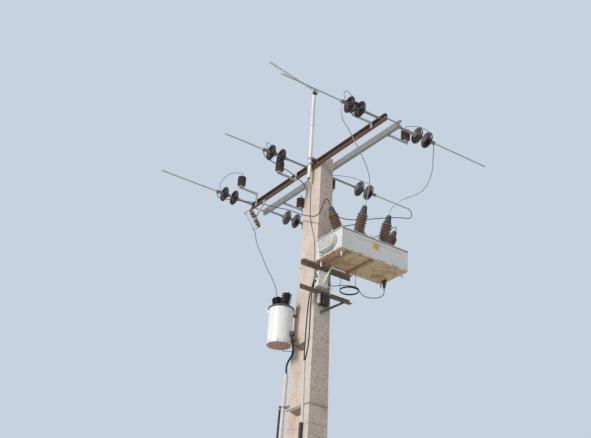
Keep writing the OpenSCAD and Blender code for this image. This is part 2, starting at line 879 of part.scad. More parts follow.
// Raised oval cover on the tank's end, with two valves below it
module switch_end_cover() {
    rim = 22;
    color("#e2e2de")
    translate([switch_x - switch_l / 2 - seat, switch_y + 10, switch_z + switch_h / 2 - 4])
        rotate([0, -90, 0]) {
            linear_extrude(height = 14)
                rotate([0, 0, 90]) stadium(cover_w, cover_h);
            linear_extrude(height = cover_t)
                rotate([0, 0, 90]) stadium(cover_w - 2 * rim, cover_h - 2 * rim);
            for (y = [120, 165])
                translate([-cover_h / 2 - 4, y, 0]) cylinder(d = 26, h = 34);
        }
}

module switch_feet() {
    color("#e6e6e4")
    for (sx = [-1, 1], sy = [-1, 1])
        translate([switch_x + sx * (switch_l / 2 - 60), switch_y + sy * (switch_w / 2 - 70),
            switch_z - peg_l - seat])
            cylinder(d = 26, h = peg_l);
}

module switch_underplate() {
    color("#a98a5b") {
        difference() {
            translate([switch_x + round_plate[0], switch_y + round_plate[1],
                switch_z - round_plate_t - seat])
                cylinder(d = round_plate_d, h = round_plate_t);
            translate([plug_x, plug_y, switch_z - 2 * round_plate_t])
                cylinder(d = plug_d + 4, h = 2 * round_plate_t);
        }
        translate([(rail_x[0] + rail_x[1] + rail_w) / 2, switch_y + long_plate_y,
            switch_z - long_plate[2] - seat])
            linear_extrude(height = long_plate[2]) stadium(long_plate[0], long_plate[1]);
    }
}

// Places a child on each of the six bushing axes
module each_bushing() {
    for (sx = [-1, 1], sy = [-1, 1])
        translate([switch_x + sx * bushing_dx, switch_y + sy * bushing_dy, switch_top])
            rotate([-sy * bushing_tilt_side, 0, 0]) children();
    for (sx = [-1, 1])
        translate([switch_x + sx * bushing_end, switch_y, switch_top])
            rotate([0, sx * bushing_tilt_end, 0]) children();
}

// Tip of a front or back bushing's boot, and of an end bushing's
bushing_l = turret_l + porcelain_l + boot_l + 3 * seat;
function side_tip(sx, sy) = [switch_x + sx * bushing_dx,
    switch_y + sy * (bushing_dy + bushing_l * sin(bushing_tilt_side)),
    switch_top + bushing_l * cos(bushing_tilt_side)];
function end_tip(sx) = [switch_x + sx * (bushing_end + bushing_l * sin(bushing_tilt_end)),
    switch_y, switch_top + bushing_l * cos(bushing_tilt_end)];

module bushing_turrets() {
    color("#d0cfc8")
    difference() {
        each_bushing() {
            translate([0, 0, -60]) cylinder(d = turret_d, h = 60 + turret_l);
            translate([0, 0, turret_l - 14]) cylinder(d = turret_d + 16, h = 14);
        }
        translate([switch_x - switch_l, switch_y - switch_w, switch_top - 200 + seat])
            cube([switch_l * 2, switch_w * 2, 200]);
    }
}

module bushing_porcelain() {
    pitch = porcelain_l / shed_count;
    color("#6e4a35")
    each_bushing()
        translate([0, 0, turret_l + seat])
            rotate_extrude()
                polygon(concat([[0, 0]],
                    [for (k = [0 : shed_count - 1], p = [[porcelain_d / 2, 0],
                        [porcelain_d / 2, pitch * 0.25], [shed_d / 2, pitch * 0.4],
                        [shed_d / 2, pitch * 0.55], [porcelain_d / 2, pitch * 0.95]])
                        [p[0], p[1] + k * pitch]],
                    [[porcelain_d / 2, porcelain_l], [0, porcelain_l]]));
}

module bushing_boots() {
    color("#4a4a4c")
    each_bushing()
        translate([0, 0, turret_l + porcelain_l + 2 * seat])
            rotate_extrude()
                polygon([[0, 0], [60, 0], [62, 12], [46, 30], [24, boot_l - 30],
                    [20, boot_l], [0, boot_l]]);
}

// Angle bar along X with its back on y = 0 and its flat leg at the top or the bottom
module angle_bar(length, leg, wall, flat_on_top) {
    rotate([90, 0, 90])
        linear_extrude(height = length) {
            translate([-wall, 0]) square([wall, leg]);
            translate([-leg, flat_on_top ? leg - wall : 0]) square([leg, wall]);
        }
}

module switch_support() {
    front = switch_y - switch_w / 2 + rail_inset;
    color("#8f8a82") {
        translate([support_x0, -pole_hy(support_z) - seat, support_z])
            angle_bar(support_l, angle_leg, angle_t, true);
        for (x = rail_x)
            translate([x, front, switch_z - rail_h - seat])
                cube([rail_w, -pole_hy(switch_z - rail_h) - seat - front, rail_h]);
        coil_hanger(coil_hanger_turns[0], switch_z - rail_h + 2);
        coil_hanger(coil_hanger_turns[1], support_z + angle_leg - angle_t + 2);
    }
}

// Upright rod from the spare turns of cable to height top
module coil_hanger(turn, top) {
    foot = coil_z + coil_tube / 2 + seat;
    translate([coil_x + coil_r * cos(turn), coil_y + coil_r * sin(turn), foot])
        cylinder(d = coil_hanger_d, h = top - foot);
}

module lower_bracket() {
    color("#6e6258")
    translate([support_x0, -pole_hy(bracket_z) - seat, bracket_z])
        angle_bar(support_l, angle_leg, angle_t, false);
}

module bracket_brace() {
    color("#5f564e")
    translate([0, -pole_hy(brace_foot_z) - seat, 0])
        rotate([90, 0, 0])
            linear_extrude(height = brace_t)
                polygon([[-40, brace_foot_z], [-40, brace_foot_z + 45],
                    [brace_reach[0], bracket_z - seat], [brace_reach[1], bracket_z - seat]]);
}

module control_box() {
    color("#c9ced1") {
        translate([box_x - box_w / 2, box_y - box_d, box_z])
            cube([box_w, box_d, box_h]);
        translate([box_x - box_w / 2 - 6, box_y - box_d - 4, box_z + box_h - 14])
            cube([box_w + 12, box_d, 14]);
    }
}

// Slanting rod from the tank to the box, and the upright stick with its crossbar
module operating_rods() {
    rod_y = box_y - box_d - 4 - seat - rod_d / 2;
    stick_y = -pole_hy(bracket_z) - angle_leg / 2;
    color("#dfe2e3") {
        rod([box_x - 4, rod_y, box_z + 46], [box_x + 132, rod_y, switch_z - rod_d / 2], rod_d);
        translate([stick_x, stick_y, bracket_z + angle_t + seat])
            cylinder(d = stick_d, h = stick_top - bracket_z - angle_t);
        translate([stick_x - 60, stick_y, stick_top - 105])
            rotate([0, 90, 0]) cylinder(d = 10, h = 120);
    }
}

module post_insulator() {
    sheds = 4;
    pitch = post_l / sheds;
    color("#d8d6d0")
    translate([post_x, -pole_hy(bracket_z) - angle_leg / 2, bracket_z - post_l - seat])
        rotate_extrude()
            polygon(concat([[0, 0], [20, 0]],
                [for (k = [0 : sheds - 1], p = [[20, 0.2], [33, 0.35], [33, 0.5], [20, 0.8]])
                    [p[0], (p[1] + k) * pitch]],
                [[20, post_l], [0, post_l]]));
}

module cable_joint_box() {
    top = bracket_z - seat;
    color("#26272a")
    translate([joint_x - joint_w / 2, -pole_hy(top - joint_h) - seat - joint_d, top - joint_h])
        cube([joint_w, joint_d, joint_h]);
}

// Control cable: plug under the tank, lead, and the spare turns
module control_plug() {
    color("#1f2022")
    translate([plug_x, plug_y, switch_z - seat])
        rotate([180, 0, 0])
            rotate_extrude()
                polygon([[0, 0], [plug_d / 2, 0], [plug_d / 2, 60], [24, 70], [24, plug_l - 30],
                    [14, plug_l], [0, plug_l]]);
}

module control_cable() {
    color("#2a2a2b") {
        tube(control_route, control_cable_d, [0.2, 1, 0.1]);
        tube(control_tail_route, control_cable_d, [0.2, 1, 0.1]);
    }
}

module control_cable_coil() {
    color("#2a2a2b")
    translate([coil_x, coil_y, coil_z])
        rotate_extrude($fn = 40)
            translate([coil_r, 0]) circle(d = coil_tube, $fn = 16);
}

module transformer_tank() {
    color("#e9e9e7")
    translate([can_x, can_y, can_z]) {
        rotate_extrude()
            polygon([[0, 6], [can_d / 2 - 16, 6], [can_d / 2 - 12, 0], [can_d / 2, 0],
                [can_d / 2, can_h], [0, can_h]]);
        for (a = [147, 327])
            rotate([0, 0, a])
                translate([can_d / 2 - 5, -7, can_h - 20 - lug_h])
                    cube([38, 14, lug_h]);
    }
}

module transformer_lid() {
    color("#4b4744")
    translate([can_x, can_y, can_z + can_h + seat])
        rotate_extrude()
            polygon([[0, 0], [can_d / 2 + lid_edge, 0], [can_d / 2 + lid_edge, 14],
                [can_d / 2 - 8, lid_rise], [0, lid_rise]]);
}

module can_bushing() {
    rotate_extrude()
        polygon(concat([[0, -30], [can_bushing_core, -30]],
            [for (k = [0 : 5], p = [[can_bushing_core, 22], [can_bushing_shed, 28],
                [can_bushing_shed, 34], [can_bushing_core, 48]]) [p[0], p[1] + k * 30]],
            [[30, 206], [30, 232], [0, 232]]));
}

module transformer_bushings() {
    top = can_z + can_h + lid_rise + 2 * seat;
    color("#1f1f21")
    difference() {
        for (s = [-1, 1])
            translate([can_x, can_y + s * can_bushing_dy, top])
                rotate([-s * can_bushing_lean, 0, 0]) can_bushing();
        translate([can_x - can_d, can_y - can_d, top - can_h])
            cube([2 * can_d, 2 * can_d, can_h]);
    }
}

module transformer_hanger() {
    color("#7d7a75")
    for (z = hanger_z)
        difference() {
            translate([can_x, can_y - 2 * hanger_w, z - hanger_w / 2])
                cube([-can_x - pole_hx(z - hanger_w / 2) - seat, hanger_w, hanger_w]);
            translate([can_x, can_y, z - hanger_w])
                cylinder(r = can_d / 2 + seat, h = 2 * hanger_w);
        }
}

// Low-voltage terminal box on the tank's side
module transformer_terminals() {
    color("#37373a")
    difference() {
        translate([can_x, can_y, terminal_z])
            rotate([0, 0, terminal_turn])
                translate([0, -terminal_w / 2, 0])
                    cube([can_d / 2 + 50, terminal_w, terminal_h]);
        translate([can_x, can_y, terminal_z - 1])
            cylinder(r = can_d / 2 + seat, h = terminal_h + 2);
    }
}

// Conduits, straight down the pole's -X face
function conduit_line(y_off, d, top) = [
    on_face(bracket_bar_t + 2 * seat + d / 2, pole_hy(top) + y_off, top),
    on_face(bracket_bar_t + 2 * seat + d / 2, pole_hy(2) + y_off, 2)];

pale_line = conduit_line(conduit_y, conduit_d, conduit_top[0]);
thin_line = conduit_line(thin_conduit_y, thin_conduit_d, conduit_top[1]);
front_line = [for (z = [conduit_top[2], 2])
    on_face(front_conduit_d / 2 + band_t + 2 * seat, -front_conduit_y, z)];

// The pale conduit, and the pale cover that leads the front cables to their conduit
module pale_conduits() {
    low = conduit_top[2] + seat;
    rise = cover_top_z - 2 - low;
    half = cable_cover_w / 2;
    color("#b8bab8") {
        rod(pale_line[1], pale_line[0], conduit_d);
        translate([-pole_hx(low) - band_t - 2 * seat, 0, low])
            rotate([0, pole_lean, 0])
                translate([-cable_cover_t, 0, 0])
                    rotate([90, 0, 90])
                        linear_extrude(height = cable_cover_t)
                            polygon([[-front_conduit_y - half, 0], [-front_conduit_y + half, 0],
                                [-cover_top_y + half, rise], [-cover_top_y - half, rise]]);
    }
}

module black_conduits() {
    color("#202124") {
        rod(thin_line[1], thin_line[0], thin_conduit_d);
        rod(front_line[1], front_line[0], front_conduit_d);
    }
}

// Steel bands round the pole, flat bars behind the conduits and clips over them
module pole_bands() {
    color("#8a8780")
    for (z = band_z) {
        difference() {
            translate([0, 0, z + band_h / 2])
                cube([2 * (pole_hx(z) + seat + band_t), 2 * (pole_hy(z) + seat + band_t), band_h],
                    center = true);
            translate([0, 0, z + band_h / 2])
                cube([2 * (pole_hx(z) + seat), 2 * (pole_hy(z) + seat), 2 * band_h],
                    center = true);
        }
        bracket_bar(z + bracket_bar_rise);
        conduit_clip(z + bracket_bar_rise, conduit_y, conduit_d);
        conduit_clip(z + bracket_bar_rise, thin_conduit_y, thin_conduit_d);
    }
}

// Flat bar on the rear flange that reaches out past the pole's edge
module bracket_bar(z) {
    translate([-pole_hx(z) - seat, pole_hy(z) - flange_rear, z])
        rotate([0, pole_lean, 0])
            translate([-bracket_bar_t, 0, 0])
                cube([bracket_bar_t, flange_rear + thin_conduit_y + 55, bracket_bar_h]);
}

// Half ring over a conduit, on the flat bar
module conduit_clip(z, y_off, d) {
    out = bracket_bar_t + 2 * seat + d / 2;
    middle = z + bracket_bar_h / 2;
    bore = d + 2;
    outer = bore + 2 * clip_t;
    translate([-pole_hx(middle) - out, pole_hy(middle) + y_off, middle - clip_h / 2])
        difference() {
            union() {
                cylinder(d = outer, h = clip_h);
                translate([0, -outer / 2, 0]) cube([out - bracket_bar_t / 2, outer, clip_h]);
            }
            translate([0, 0, -1]) cylinder(d = bore, h = clip_h + 2);
            translate([0, -bore / 2, -1]) cube([out, bore, clip_h + 2]);
        }
}

// Cables that the pole holds all the way
module pole_cables() {
    side = box_x - box_w / 2 - seat;
    left = [side, box_y - 55, box_z + 150];
    right = [side, box_y - 22, box_z + 90];
    feeder = [side, box_y - 30, box_z + 190];
    earth = [can_x + can_d / 2 - 60, can_y + 80, can_z + 6 - seat];
    aside = [1, 1, 0];
    color("#2a2a2b") {
        tube(concat([left, left + [-22, 0, 0], left + [-30, 8, -8]],
            down_face(front_cable_d, front_left_y, front_left_z)), front_cable_d, aside);
        tube(concat([right, right + [-20, 0, 0], right + [-27, 7, -8]],
            down_face(front_cable_d, front_right_y, front_right_z)), front_cable_d, aside);
        tube(concat([terminal_out(0), terminal_out(40)],
            down_face(rear_cable_d, [rear_cable_y], [rear_cable_z]),
            [pale_line[0] + [0, -3, 140], pale_line[0] + [0, 0, 2 * seat]]),
            rear_cable_d, aside, 12);
    }
    color("#b9a58c") {
        tube(concat([[mast_x, 0, mast_bottom_z + 30], [mast_x, 5, mast_bottom_z - 20]],
            down_face(feeder_d, feeder_y, feeder_z),
            [feeder + [-25, 6, 6], feeder + [-18, 0, 0], feeder]), feeder_d, aside);
        tube(concat([earth, earth - [0, 0, 25]],
            down_face(earth_d, [for (z = earth_z) pole_hy(z) - 12], earth_z)), earth_d, aside);
    }
}

// Points of a cable of diameter d that lies on the pole's -X face
function down_face(d, y, z) = [for (i = [0 : len(y) - 1]) on_face(d / 2 + seat, y[i], z[i])];

// Point below the terminal box, lower by drop
function terminal_out(drop) = [can_x + cos(terminal_turn) * (can_d / 2 + 25),
    can_y + sin(terminal_turn) * (can_d / 2 + 25), terminal_z - seat - drop];

pole();
rusty_crossarm();
galvanised_crossarm();
crossarm_bolts();
mast_tube();
mast_clamps();
antenna_boom();
antenna_elements();
antenna_clamp();
strain_links();
strain_discs(-1);  // strain_discs_left
strain_discs(1);  // strain_discs_right
strain_caps();
wire_grips(-1);  // wire_grips_left
wire_grips(1);  // wire_grips_right
arresters(-1, arresters_left);  // surge_arresters_left
arresters(1, arresters_right);  // surge_arresters_right
arrester_brackets();
arrester_leads();
cutout_bracket();
cutout_insulator();
cutout_fuse_tube();
fuse_lead();
jumper(near_left_route, [0.3, 0.2, 1]);  // jumper_near_left
jumper(near_right_route, [1, 0.5, 0]);  // jumper_near_right
jumper(middle_left_route, [0.5, 1, 0.3]);  // jumper_middle_left
jumper(middle_right_route, [0.1, 1, 0.1]);  // jumper_middle_right
jumper(far_left_route, [1, 1, 0.05]);  // jumper_far_left
jumper(far_right_route, [1, 0.1, 0]);  // jumper_far_right
switch_tank();
switch_lid();
switch_end_cover();
switch_feet();
switch_underplate();
bushing_turrets();
bushing_porcelain();
bushing_boots();
switch_support();
lower_bracket();
bracket_brace();
control_box();
operating_rods();
post_insulator();
cable_joint_box();
control_plug();
control_cable();
control_cable_coil();
transformer_tank();
transformer_lid();
transformer_bushings();
transformer_hanger();
transformer_terminals();
pole_cables();
pale_conduits();
black_conduits();
pole_bands();
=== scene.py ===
"""Looks of a concrete line pole with a gas-insulated switch and a small can transformer.

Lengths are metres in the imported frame: X runs along the line, Y along the crossarms
and Z up, with the origin at the foot of the pole.
"""

import logging
import math
from dataclasses import dataclass
from enum import Enum

import bmesh
import bpy
import numpy as np
from mathutils import Matrix, Vector


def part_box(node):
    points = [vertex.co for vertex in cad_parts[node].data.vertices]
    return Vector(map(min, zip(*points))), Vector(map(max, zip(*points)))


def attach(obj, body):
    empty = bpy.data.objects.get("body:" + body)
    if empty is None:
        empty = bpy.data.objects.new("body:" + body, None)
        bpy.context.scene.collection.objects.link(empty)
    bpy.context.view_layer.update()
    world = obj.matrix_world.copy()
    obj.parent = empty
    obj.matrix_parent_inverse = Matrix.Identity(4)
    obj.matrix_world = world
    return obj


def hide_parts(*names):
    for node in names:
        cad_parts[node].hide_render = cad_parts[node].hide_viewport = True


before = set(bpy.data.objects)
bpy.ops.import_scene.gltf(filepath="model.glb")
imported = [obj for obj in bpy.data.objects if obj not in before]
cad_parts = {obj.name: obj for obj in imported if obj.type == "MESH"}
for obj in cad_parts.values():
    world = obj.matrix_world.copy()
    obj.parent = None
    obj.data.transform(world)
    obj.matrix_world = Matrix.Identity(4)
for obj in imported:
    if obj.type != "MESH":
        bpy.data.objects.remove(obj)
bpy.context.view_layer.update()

LOG = logging.getLogger("line_pole")
Tree = bpy.types.NodeTree
Socket = bpy.types.NodeSocket
Piece = bpy.types.Object
Profile = list[tuple[float, float]]
MM = 0.001
UP = Vector((0, 0, 1))
FRONT = Vector((0, -1, 0))
HERE = Matrix.Identity(4)
# Angles above which an edge stays sharp: on a body with sheds, and on a bent tube
SHEDS = 70.0
BENDS = 80.0
BODY = "root"

# Camera of the photograph: its place, the way it looks, and its focal length in pixels
EYE = Vector((-8.1135, -11.7768, 1.6))
EYE_TURN = 33.222
EYE_RISE = 28.0046
EYE_ROLL = 3.7262
FOCAL_PX = 1056.914
FRAME_PX = 591
SENSOR_MM = 36.0

# The key lamp shines from behind the camera's left shoulder; the sky lights from all round
KEY_FROM = Vector((-0.88, -0.17, 0.58))
KEY_STRENGTH = 2.5
KEY_COLOUR = (1.0, 0.97, 0.93)
SKY_STRENGTH = 0.5
SKY_COLOUR = "#dfe7f2"
BACKDROP = "#c6d2df"
# Pale floor, and half its width in metres
FLOOR_COLOUR = "#dcdcda"
FLOOR_HALF = 40.0


# ---- nodes ----


def linear(code: str) -> tuple[float, float, float, float]:
    """Turns an sRGB hex colour into linear values.

    Args:
        code: The colour as "#rrggbb".

    Returns:
        Linear red, green and blue, and an alpha of one.
    """
    channels = [int(code[k : k + 2], 16) / 255 for k in (1, 3, 5)]
    values = [c / 12.92 if c <= 0.04045 else ((c + 0.055) / 1.055) ** 2.4 for c in channels]
    return (*values, 1.0)


def add_node(tree: Tree, kind: str, inputs: dict = None, **settings: object) -> bpy.types.Node:
    """Adds a node with its settings and links.

    Args:
        tree: The node tree.
        kind: The node's type name.
        inputs: A socket or a value for each input, by its name or number.
        settings: The node's own properties.

    Returns:
        The new node.
    """
    node = tree.nodes.new(kind)
    for name, value in settings.items():
        setattr(node, name, value)
    for key, value in (inputs or {}).items():
        if isinstance(value, Socket):
            tree.links.new(value, node.inputs[key])
        else:
            node.inputs[key].default_value = value
    return node


def per_metre(size_mm: float) -> float:
    """Scale of a pattern whose features are size_mm wide, on coordinates in metres."""
    return 1000.0 / size_mm


@dataclass
class Surface:
    """A material in the making.

    Attributes:
        tree: Its node tree.
        place: Socket with the place on the surface.
        colour: Its colour so far.
    """

    tree: Tree
    place: Socket
    colour: Socket | tuple

    def mask(
        self, kind: str, inputs: dict, out: str, low: float, high: float, **settings: object
    ) -> Socket:
        """Measures the surface with a node and cuts what it finds to a soft mask.

        Args:
            kind: Type name of the node that measures.
            inputs: Its inputs.
            out: Name of its output.
            low: Value that gives 0; it may lie above high.
            high: Value that gives 1.
            settings: The node's own properties.

        Returns:
            A socket from 0 to 1.
        """
        found = add_node(self.tree, kind, inputs, **settings).outputs[out]
        ends = {"Value": found, "From Min": low, "From Max": high}
        ramp = add_node(self.tree, "ShaderNodeMapRange", ends, interpolation_type="SMOOTHSTEP")
        return ramp.outputs["Result"]

    def patches(
        self, size_mm: float, low: float, high: float, seed: float, stretch: tuple = (1, 1, 1)
    ) -> Socket:
        """Mask of soft patches cut out of noise.

        Args:
            size_mm: Width of a patch.
            low: Noise level where a patch begins.
            high: Noise level where it is full.
            seed: Moves the pattern, so that two masks differ.
            stretch: How much the pattern is packed along each axis.

        Returns:
            A socket from 0 to 1.
        """
        spot = {"Vector": self.place, "Location": (seed, seed * 1.7, seed * 0.6), "Scale": stretch}
        moved = add_node(self.tree, "ShaderNodeMapping", spot).outputs["Vector"]
        noise = {"Vector": moved, "Scale": per_metre(size_mm), "Detail": 5.0, "Roughness": 0.6}
        return self.mask("ShaderNodeTexNoise", noise, "Fac", low, high)

    def height(self, low: float, high: float) -> Socket:
        """Mask that rises from a height in metres to another."""
        return self.mask("ShaderNodeSeparateXYZ", {"Vector": self.place}, "Z", low, high)

    def facing(self, axis: str, low: float, high: float) -> Socket:
        """Mask of the faces that look along an axis, by the normal's part along it."""
        normal = add_node(self.tree, "ShaderNodeNewGeometry").outputs["Normal"]
        return self.mask("ShaderNodeSeparateXYZ", {"Vector": normal}, axis, low, high)

    def lay(self, over: str, *masks: Socket | float) -> None:
        """Lays a colour over the others where all its masks meet.

        Args:
            over: The colour.
            masks: Masks or plain shares, which are multiplied.
        """
        share = masks[0]
        for other in masks[1:]:
            pair = {0: share, 1: other}
            share = add_node(self.tree, "ShaderNodeMath", pair, operation="MULTIPLY").outputs[0]
        layers = {0: share, 6: self.colour, 7: linear(over)}
        self.colour = add_node(self.tree, "ShaderNodeMix", layers, data_type="RGBA").outputs[2]


# ---- finishes ----


@dataclass(frozen=True)
class Finish:
    """Finish of a surface: mottled colour, stains and fine relief, all in real sizes.

    Attributes:
        name: Name of the material.
        slot: Material slot that it stands for.
        base: Main colour.
        mottle: Colour of the broad, faint patches.
        mottle_mm: Width of those patches.
        mottle_share: How strong they are.
        stain: Colour of dirt or rust.
        stain_mm: Width of its patches.
        stain_range: Noise levels where a stain starts and is full.
        streak: Packing along Z; below 1 the stains run downwards.
        relief_mm: Width of the fine relief.
        relief_depth_mm: Height of the fine relief.
        metallic: Share of bare metal.
        roughness: Lowest roughness.
        roughness_spread: How much the roughness rises in the stains.
        coat: Weight of a clear glossy coat, such as glaze.
    """

    name: str
    slot: str
    base: str
    mottle: str
    mottle_mm: float = 120.0
    mottle_share: float = 0.6
    stain: str = "#6b5a48"
    stain_mm: float = 40.0
    stain_range: tuple[float, float] = (0.62, 0.8)
    streak: float = 0.35
    relief_mm: float = 6.0
    relief_depth_mm: float = 0.4
    metallic: float = 0.0
    roughness: float = 0.5
    roughness_spread: float = 0.2
    coat: float = 0.0

    def details(self, surface: Surface) -> None:
        """Lays what only this finish has on a surface."""

    def relief(self, surface: Surface) -> Socket:
        """Height of the fine relief, from 0 to 1."""
        return surface.patches(self.relief_mm, 0.3, 0.7, 4.0)

    def material(self) -> bpy.types.Material:
        """Gives the material, which is built the first time.

        Returns:
            The material.
        """
        if self.name in bpy.data.materials:
            return bpy.data.materials[self.name]
        made = bpy.data.materials.new(self.name)
        made.use_nodes = True
        tree = made.node_tree
        tree.nodes.clear()
        place = add_node(tree, "ShaderNodeTexCoord").outputs["Object"]
        surface = Surface(tree, place, linear(self.base))
        surface.lay(
            self.mottle, surface.patches(self.mottle_mm, 0.35, 0.65, 1.0), self.mottle_share
        )
        stains = surface.patches(self.stain_mm, *self.stain_range, 2.0, (1, 1, self.streak))
        surface.lay(self.stain, stains)
        self.details(surface)
        most = self.roughness + self.roughness_spread
        span = {"Value": stains, "To Min": self.roughness, "To Max": most}
        depth = {"Strength": 0.6, "Distance": self.relief_depth_mm * MM}
        bump = add_node(tree, "ShaderNodeBump", {"Height": self.relief(surface), **depth})
        inputs = {
            "Base Color": surface.colour,
            "Roughness": add_node(tree, "ShaderNodeMapRange", span).outputs["Result"],
            "Normal": bump.outputs["Normal"],
            "Metallic": self.metallic,
            "Coat Weight": self.coat,
            "Coat Roughness": 0.12,
        }
        shader = add_node(tree, "ShaderNodeBsdfPrincipled", inputs)
        add_node(tree, "ShaderNodeOutputMaterial", {"Surface": shader.outputs["BSDF"]})
        return made


@dataclass(frozen=True)
class CastConcrete(Finish):
    """Cast concrete: sandy, with open pores, steps of the form and iron run-downs.

    Attributes:
        pit: Colour inside a pore.
        speck: Colour of the darker grit, laid strongest on the two narrow faces as painted grazing
            light.
        step: Colour of the lines that the boards of the form left, darkened as the painted shadow
            of a small step at each.
        steps: Heights of those lines in metres.
        tide: Colour of the iron run-downs.
        painted_shade: Colour painted as shade on the faces that look down, such as the upper ends
            of the recesses.
    """

    pit: str = "#86776a"
    speck: str = "#8f8078"
    step: str = "#8f8073"
    steps: tuple = (8.42, 7.174, 5.925, 4.675, 3.43, 2.18, 0.93)
    tide: str = "#c49c86"
    painted_shade: str = "#75634f"

    def details(self, surface: Surface) -> None:
        """Adds the grit, the pores, the lines of the form, a faint tide of iron and painted shade
        on faces that look down.
        """
        tree = surface.tree
        # Grit is 5 to 10 mm; it is drawn 16 mm wide so that it shows from the ground
        grit = surface.patches(16.0, 0.4, 0.66, 21.0)
        # On the two narrow faces the grit is laid stronger: painted grazing light that picks it out
        # there
        sides = {k: surface.facing("Y", way * 0.4, way * 0.9) for k, way in enumerate((-1, 1))}
        narrow = add_node(tree, "ShaderNodeMath", sides, operation="MAXIMUM").outputs[0]
        span = {"Value": narrow, "To Min": 0.22, "To Max": 0.75}
        grit_light_share = add_node(tree, "ShaderNodeMapRange", span).outputs["Result"]
        surface.lay(self.speck, grit, grit_light_share)
        # Pores are a few millimetres wide; they are drawn about 12 mm so that they show
        cells = {"Vector": surface.place, "Scale": per_metre(42.0)}
        pore = surface.mask("ShaderNodeTexVoronoi", cells, "Distance", 0.24, 0.12)
        surface.lay(self.pit, pore, surface.patches(90.0, 0.5, 0.62, 7.0))
        broken = surface.patches(130.0, 0.3, 0.5, 9.0)
        # Each line is a thin dark band: the seam of the form, with the painted shadow of its small
        # step
        for level in self.steps:
            below = surface.height(level - 0.012, level)
            surface.lay(self.step, below, surface.height(level + 0.006, level), broken, 0.8)
        surface.lay(self.tide, surface.patches(60.0, 0.55, 0.75, 12.0, (1, 1, 0.06)), 0.4)
        # The upper ends of the recesses look down; they are laid with painted shade, darker than
        # the rest
        surface.lay(self.painted_shade, surface.facing("Z", -0.1, -0.45), 0.85)


@dataclass(frozen=True)
class TankPaint(Finish):
    """Sprayed paint on sheet steel: off-white, rusty on the low edge and underneath.

    Attributes:
        rust: Colour of the rust.
        under: Colour of the stained side that faces down.
        low_edge: Height of the low edge.
        rust_rise: How far the rust climbs.
    """

    rust: str = "#8c5a34"
    under: str = "#c9ab84"
    low_edge: float = 8.35
    rust_rise: float = 0.05

    def details(self, surface: Surface) -> None:
        """Adds rust that climbs from the low edge, and the stained side that faces down."""
        climb = surface.height(self.low_edge + self.rust_rise, self.low_edge)
        surface.lay(self.rust, climb, surface.patches(45.0, 0.42, 0.68, 5.0, (1, 1, 0.3)))
        low = surface.height(self.low_edge + 0.02, self.low_edge + 0.01)
        down = surface.facing("Z", -0.5, -0.9)
        surface.lay(self.under, down, low)
        # Rust has come up in spots of 20 to 30 mm, close together in places and rare elsewhere
        cluster = surface.patches(300.0, 0.4, 0.56, 15.0)
        surface.lay(self.rust, down, low, cluster, surface.patches(55.0, 0.47, 0.58, 18.0), 0.8)


@dataclass(frozen=True)
class CarrierSteel(Finish):
    """Galvanised angle whose upper rails took the colour of the stained plate on them.

    Attributes:
        stained: Colour of the rails.
        from_height: Height where the rails begin.
    """

    stained: str = "#b1937a"
    from_height: float = 8.31

    def details(self, surface: Surface) -> None:
        """Adds the stained colour of the rails."""
        rail = surface.height(self.from_height, self.from_height + 0.004)
        surface.lay(self.stained, rail, surface.patches(60.0, 0.2, 0.5, 18.0))


@dataclass(frozen=True)
class Dusted(Finish):
    """A dark or glossy surface on whose upward faces pale dust has settled.

    Attributes:
        dust: Colour of the dust.
        dust_share: How thick it lies.
    """

    dust: str = "#a4937c"
    dust_share: float = 0.5

    def details(self, surface: Surface) -> None:
        """Adds dust where the surface faces up."""
        ragged = surface.patches(25.0, 0.3, 0.7, 6.0)
        surface.lay(self.dust, surface.facing("Z", 0.35, 1.0), ragged, self.dust_share)


@dataclass(frozen=True)
class LaidWire(Finish):
    """Conductor of wires laid round each other, drawn on the piece's own UV map.

    Attributes:
        groove: Colour of the painted shade between two wires.
        lay_mm: Length in which a wire goes once round.
        wires: Wires in the outer layer.
    """

    groove: str = "#4c4d4e"
    lay_mm: float = 160.0
    wires: int = 6

    def strands(self, surface: Surface, low: float, high: float) -> Socket:
        """Cuts a mask out of a wave that is -1 in a groove and 1 on a wire.

        Args:
            surface: The surface.
            low: Part of the wave that gives 0.
            high: Part that gives 1.

        Returns:
            A socket from 0 to 1.
        """
        tree = surface.tree
        place = add_node(tree, "ShaderNodeTexCoord").outputs["UV"]
        parts = add_node(tree, "ShaderNodeSeparateXYZ", {"Vector": place}).outputs
        turned = {0: parts["Y"], 1: per_metre(self.lay_mm), 2: parts["X"]}
        turns = add_node(tree, "ShaderNodeMath", turned, operation="MULTIPLY_ADD").outputs[0]
        whole = {0: turns, 1: math.tau * self.wires}
        angle = add_node(tree, "ShaderNodeMath", whole, operation="MULTIPLY").outputs[0]
        return surface.mask("ShaderNodeMath", {0: angle}, "Value", low, high, operation="COSINE")

    def details(self, surface: Surface) -> None:
        """Darkens the grooves between the wires with painted shade."""
        surface.lay(self.groove, self.strands(surface, 0.6, -1.0))

    def relief(self, surface: Surface) -> Socket:
        """Height of the wires."""
        return self.strands(surface, -1.0, 0.6)


# The values of each finish stand in the order of the fields of Finish, up to the named ones

# Concrete cast in a steel form: matt, sandy grey that warms to pink, pitted and banded
CONCRETE = CastConcrete(
    "cast_concrete", "concrete", "#ddd0c4", "#cdbaa8", 260.0, 0.7, "#b7a391", 60.0, (0.58, 0.8),
    0.5, 24.0, 5.0, roughness=0.85, roughness_spread=0.1,
)
# Rolled channel whose scale has rusted through: dark brown, with redder blooms
RUSTY_STEEL = Finish(
    "rusted_rolled_steel", "rusty_steel", "#7b6251", "#62493a", 60.0, 0.8, "#8d5a38", 30.0,
    (0.5, 0.72), 0.8, 4.0, 0.8, roughness=0.75,
)
# Painted angle that has worn down to rust along its edges: dull grey-brown, blotched
WORN_ANGLE = Finish(
    "worn_painted_angle", "rusty_steel", "#7f736a", "#64564c", 45.0, 0.8, "#80532f", 34.0,
    (0.46, 0.66), 0.7, 4.0, 0.8, roughness=0.7,
)
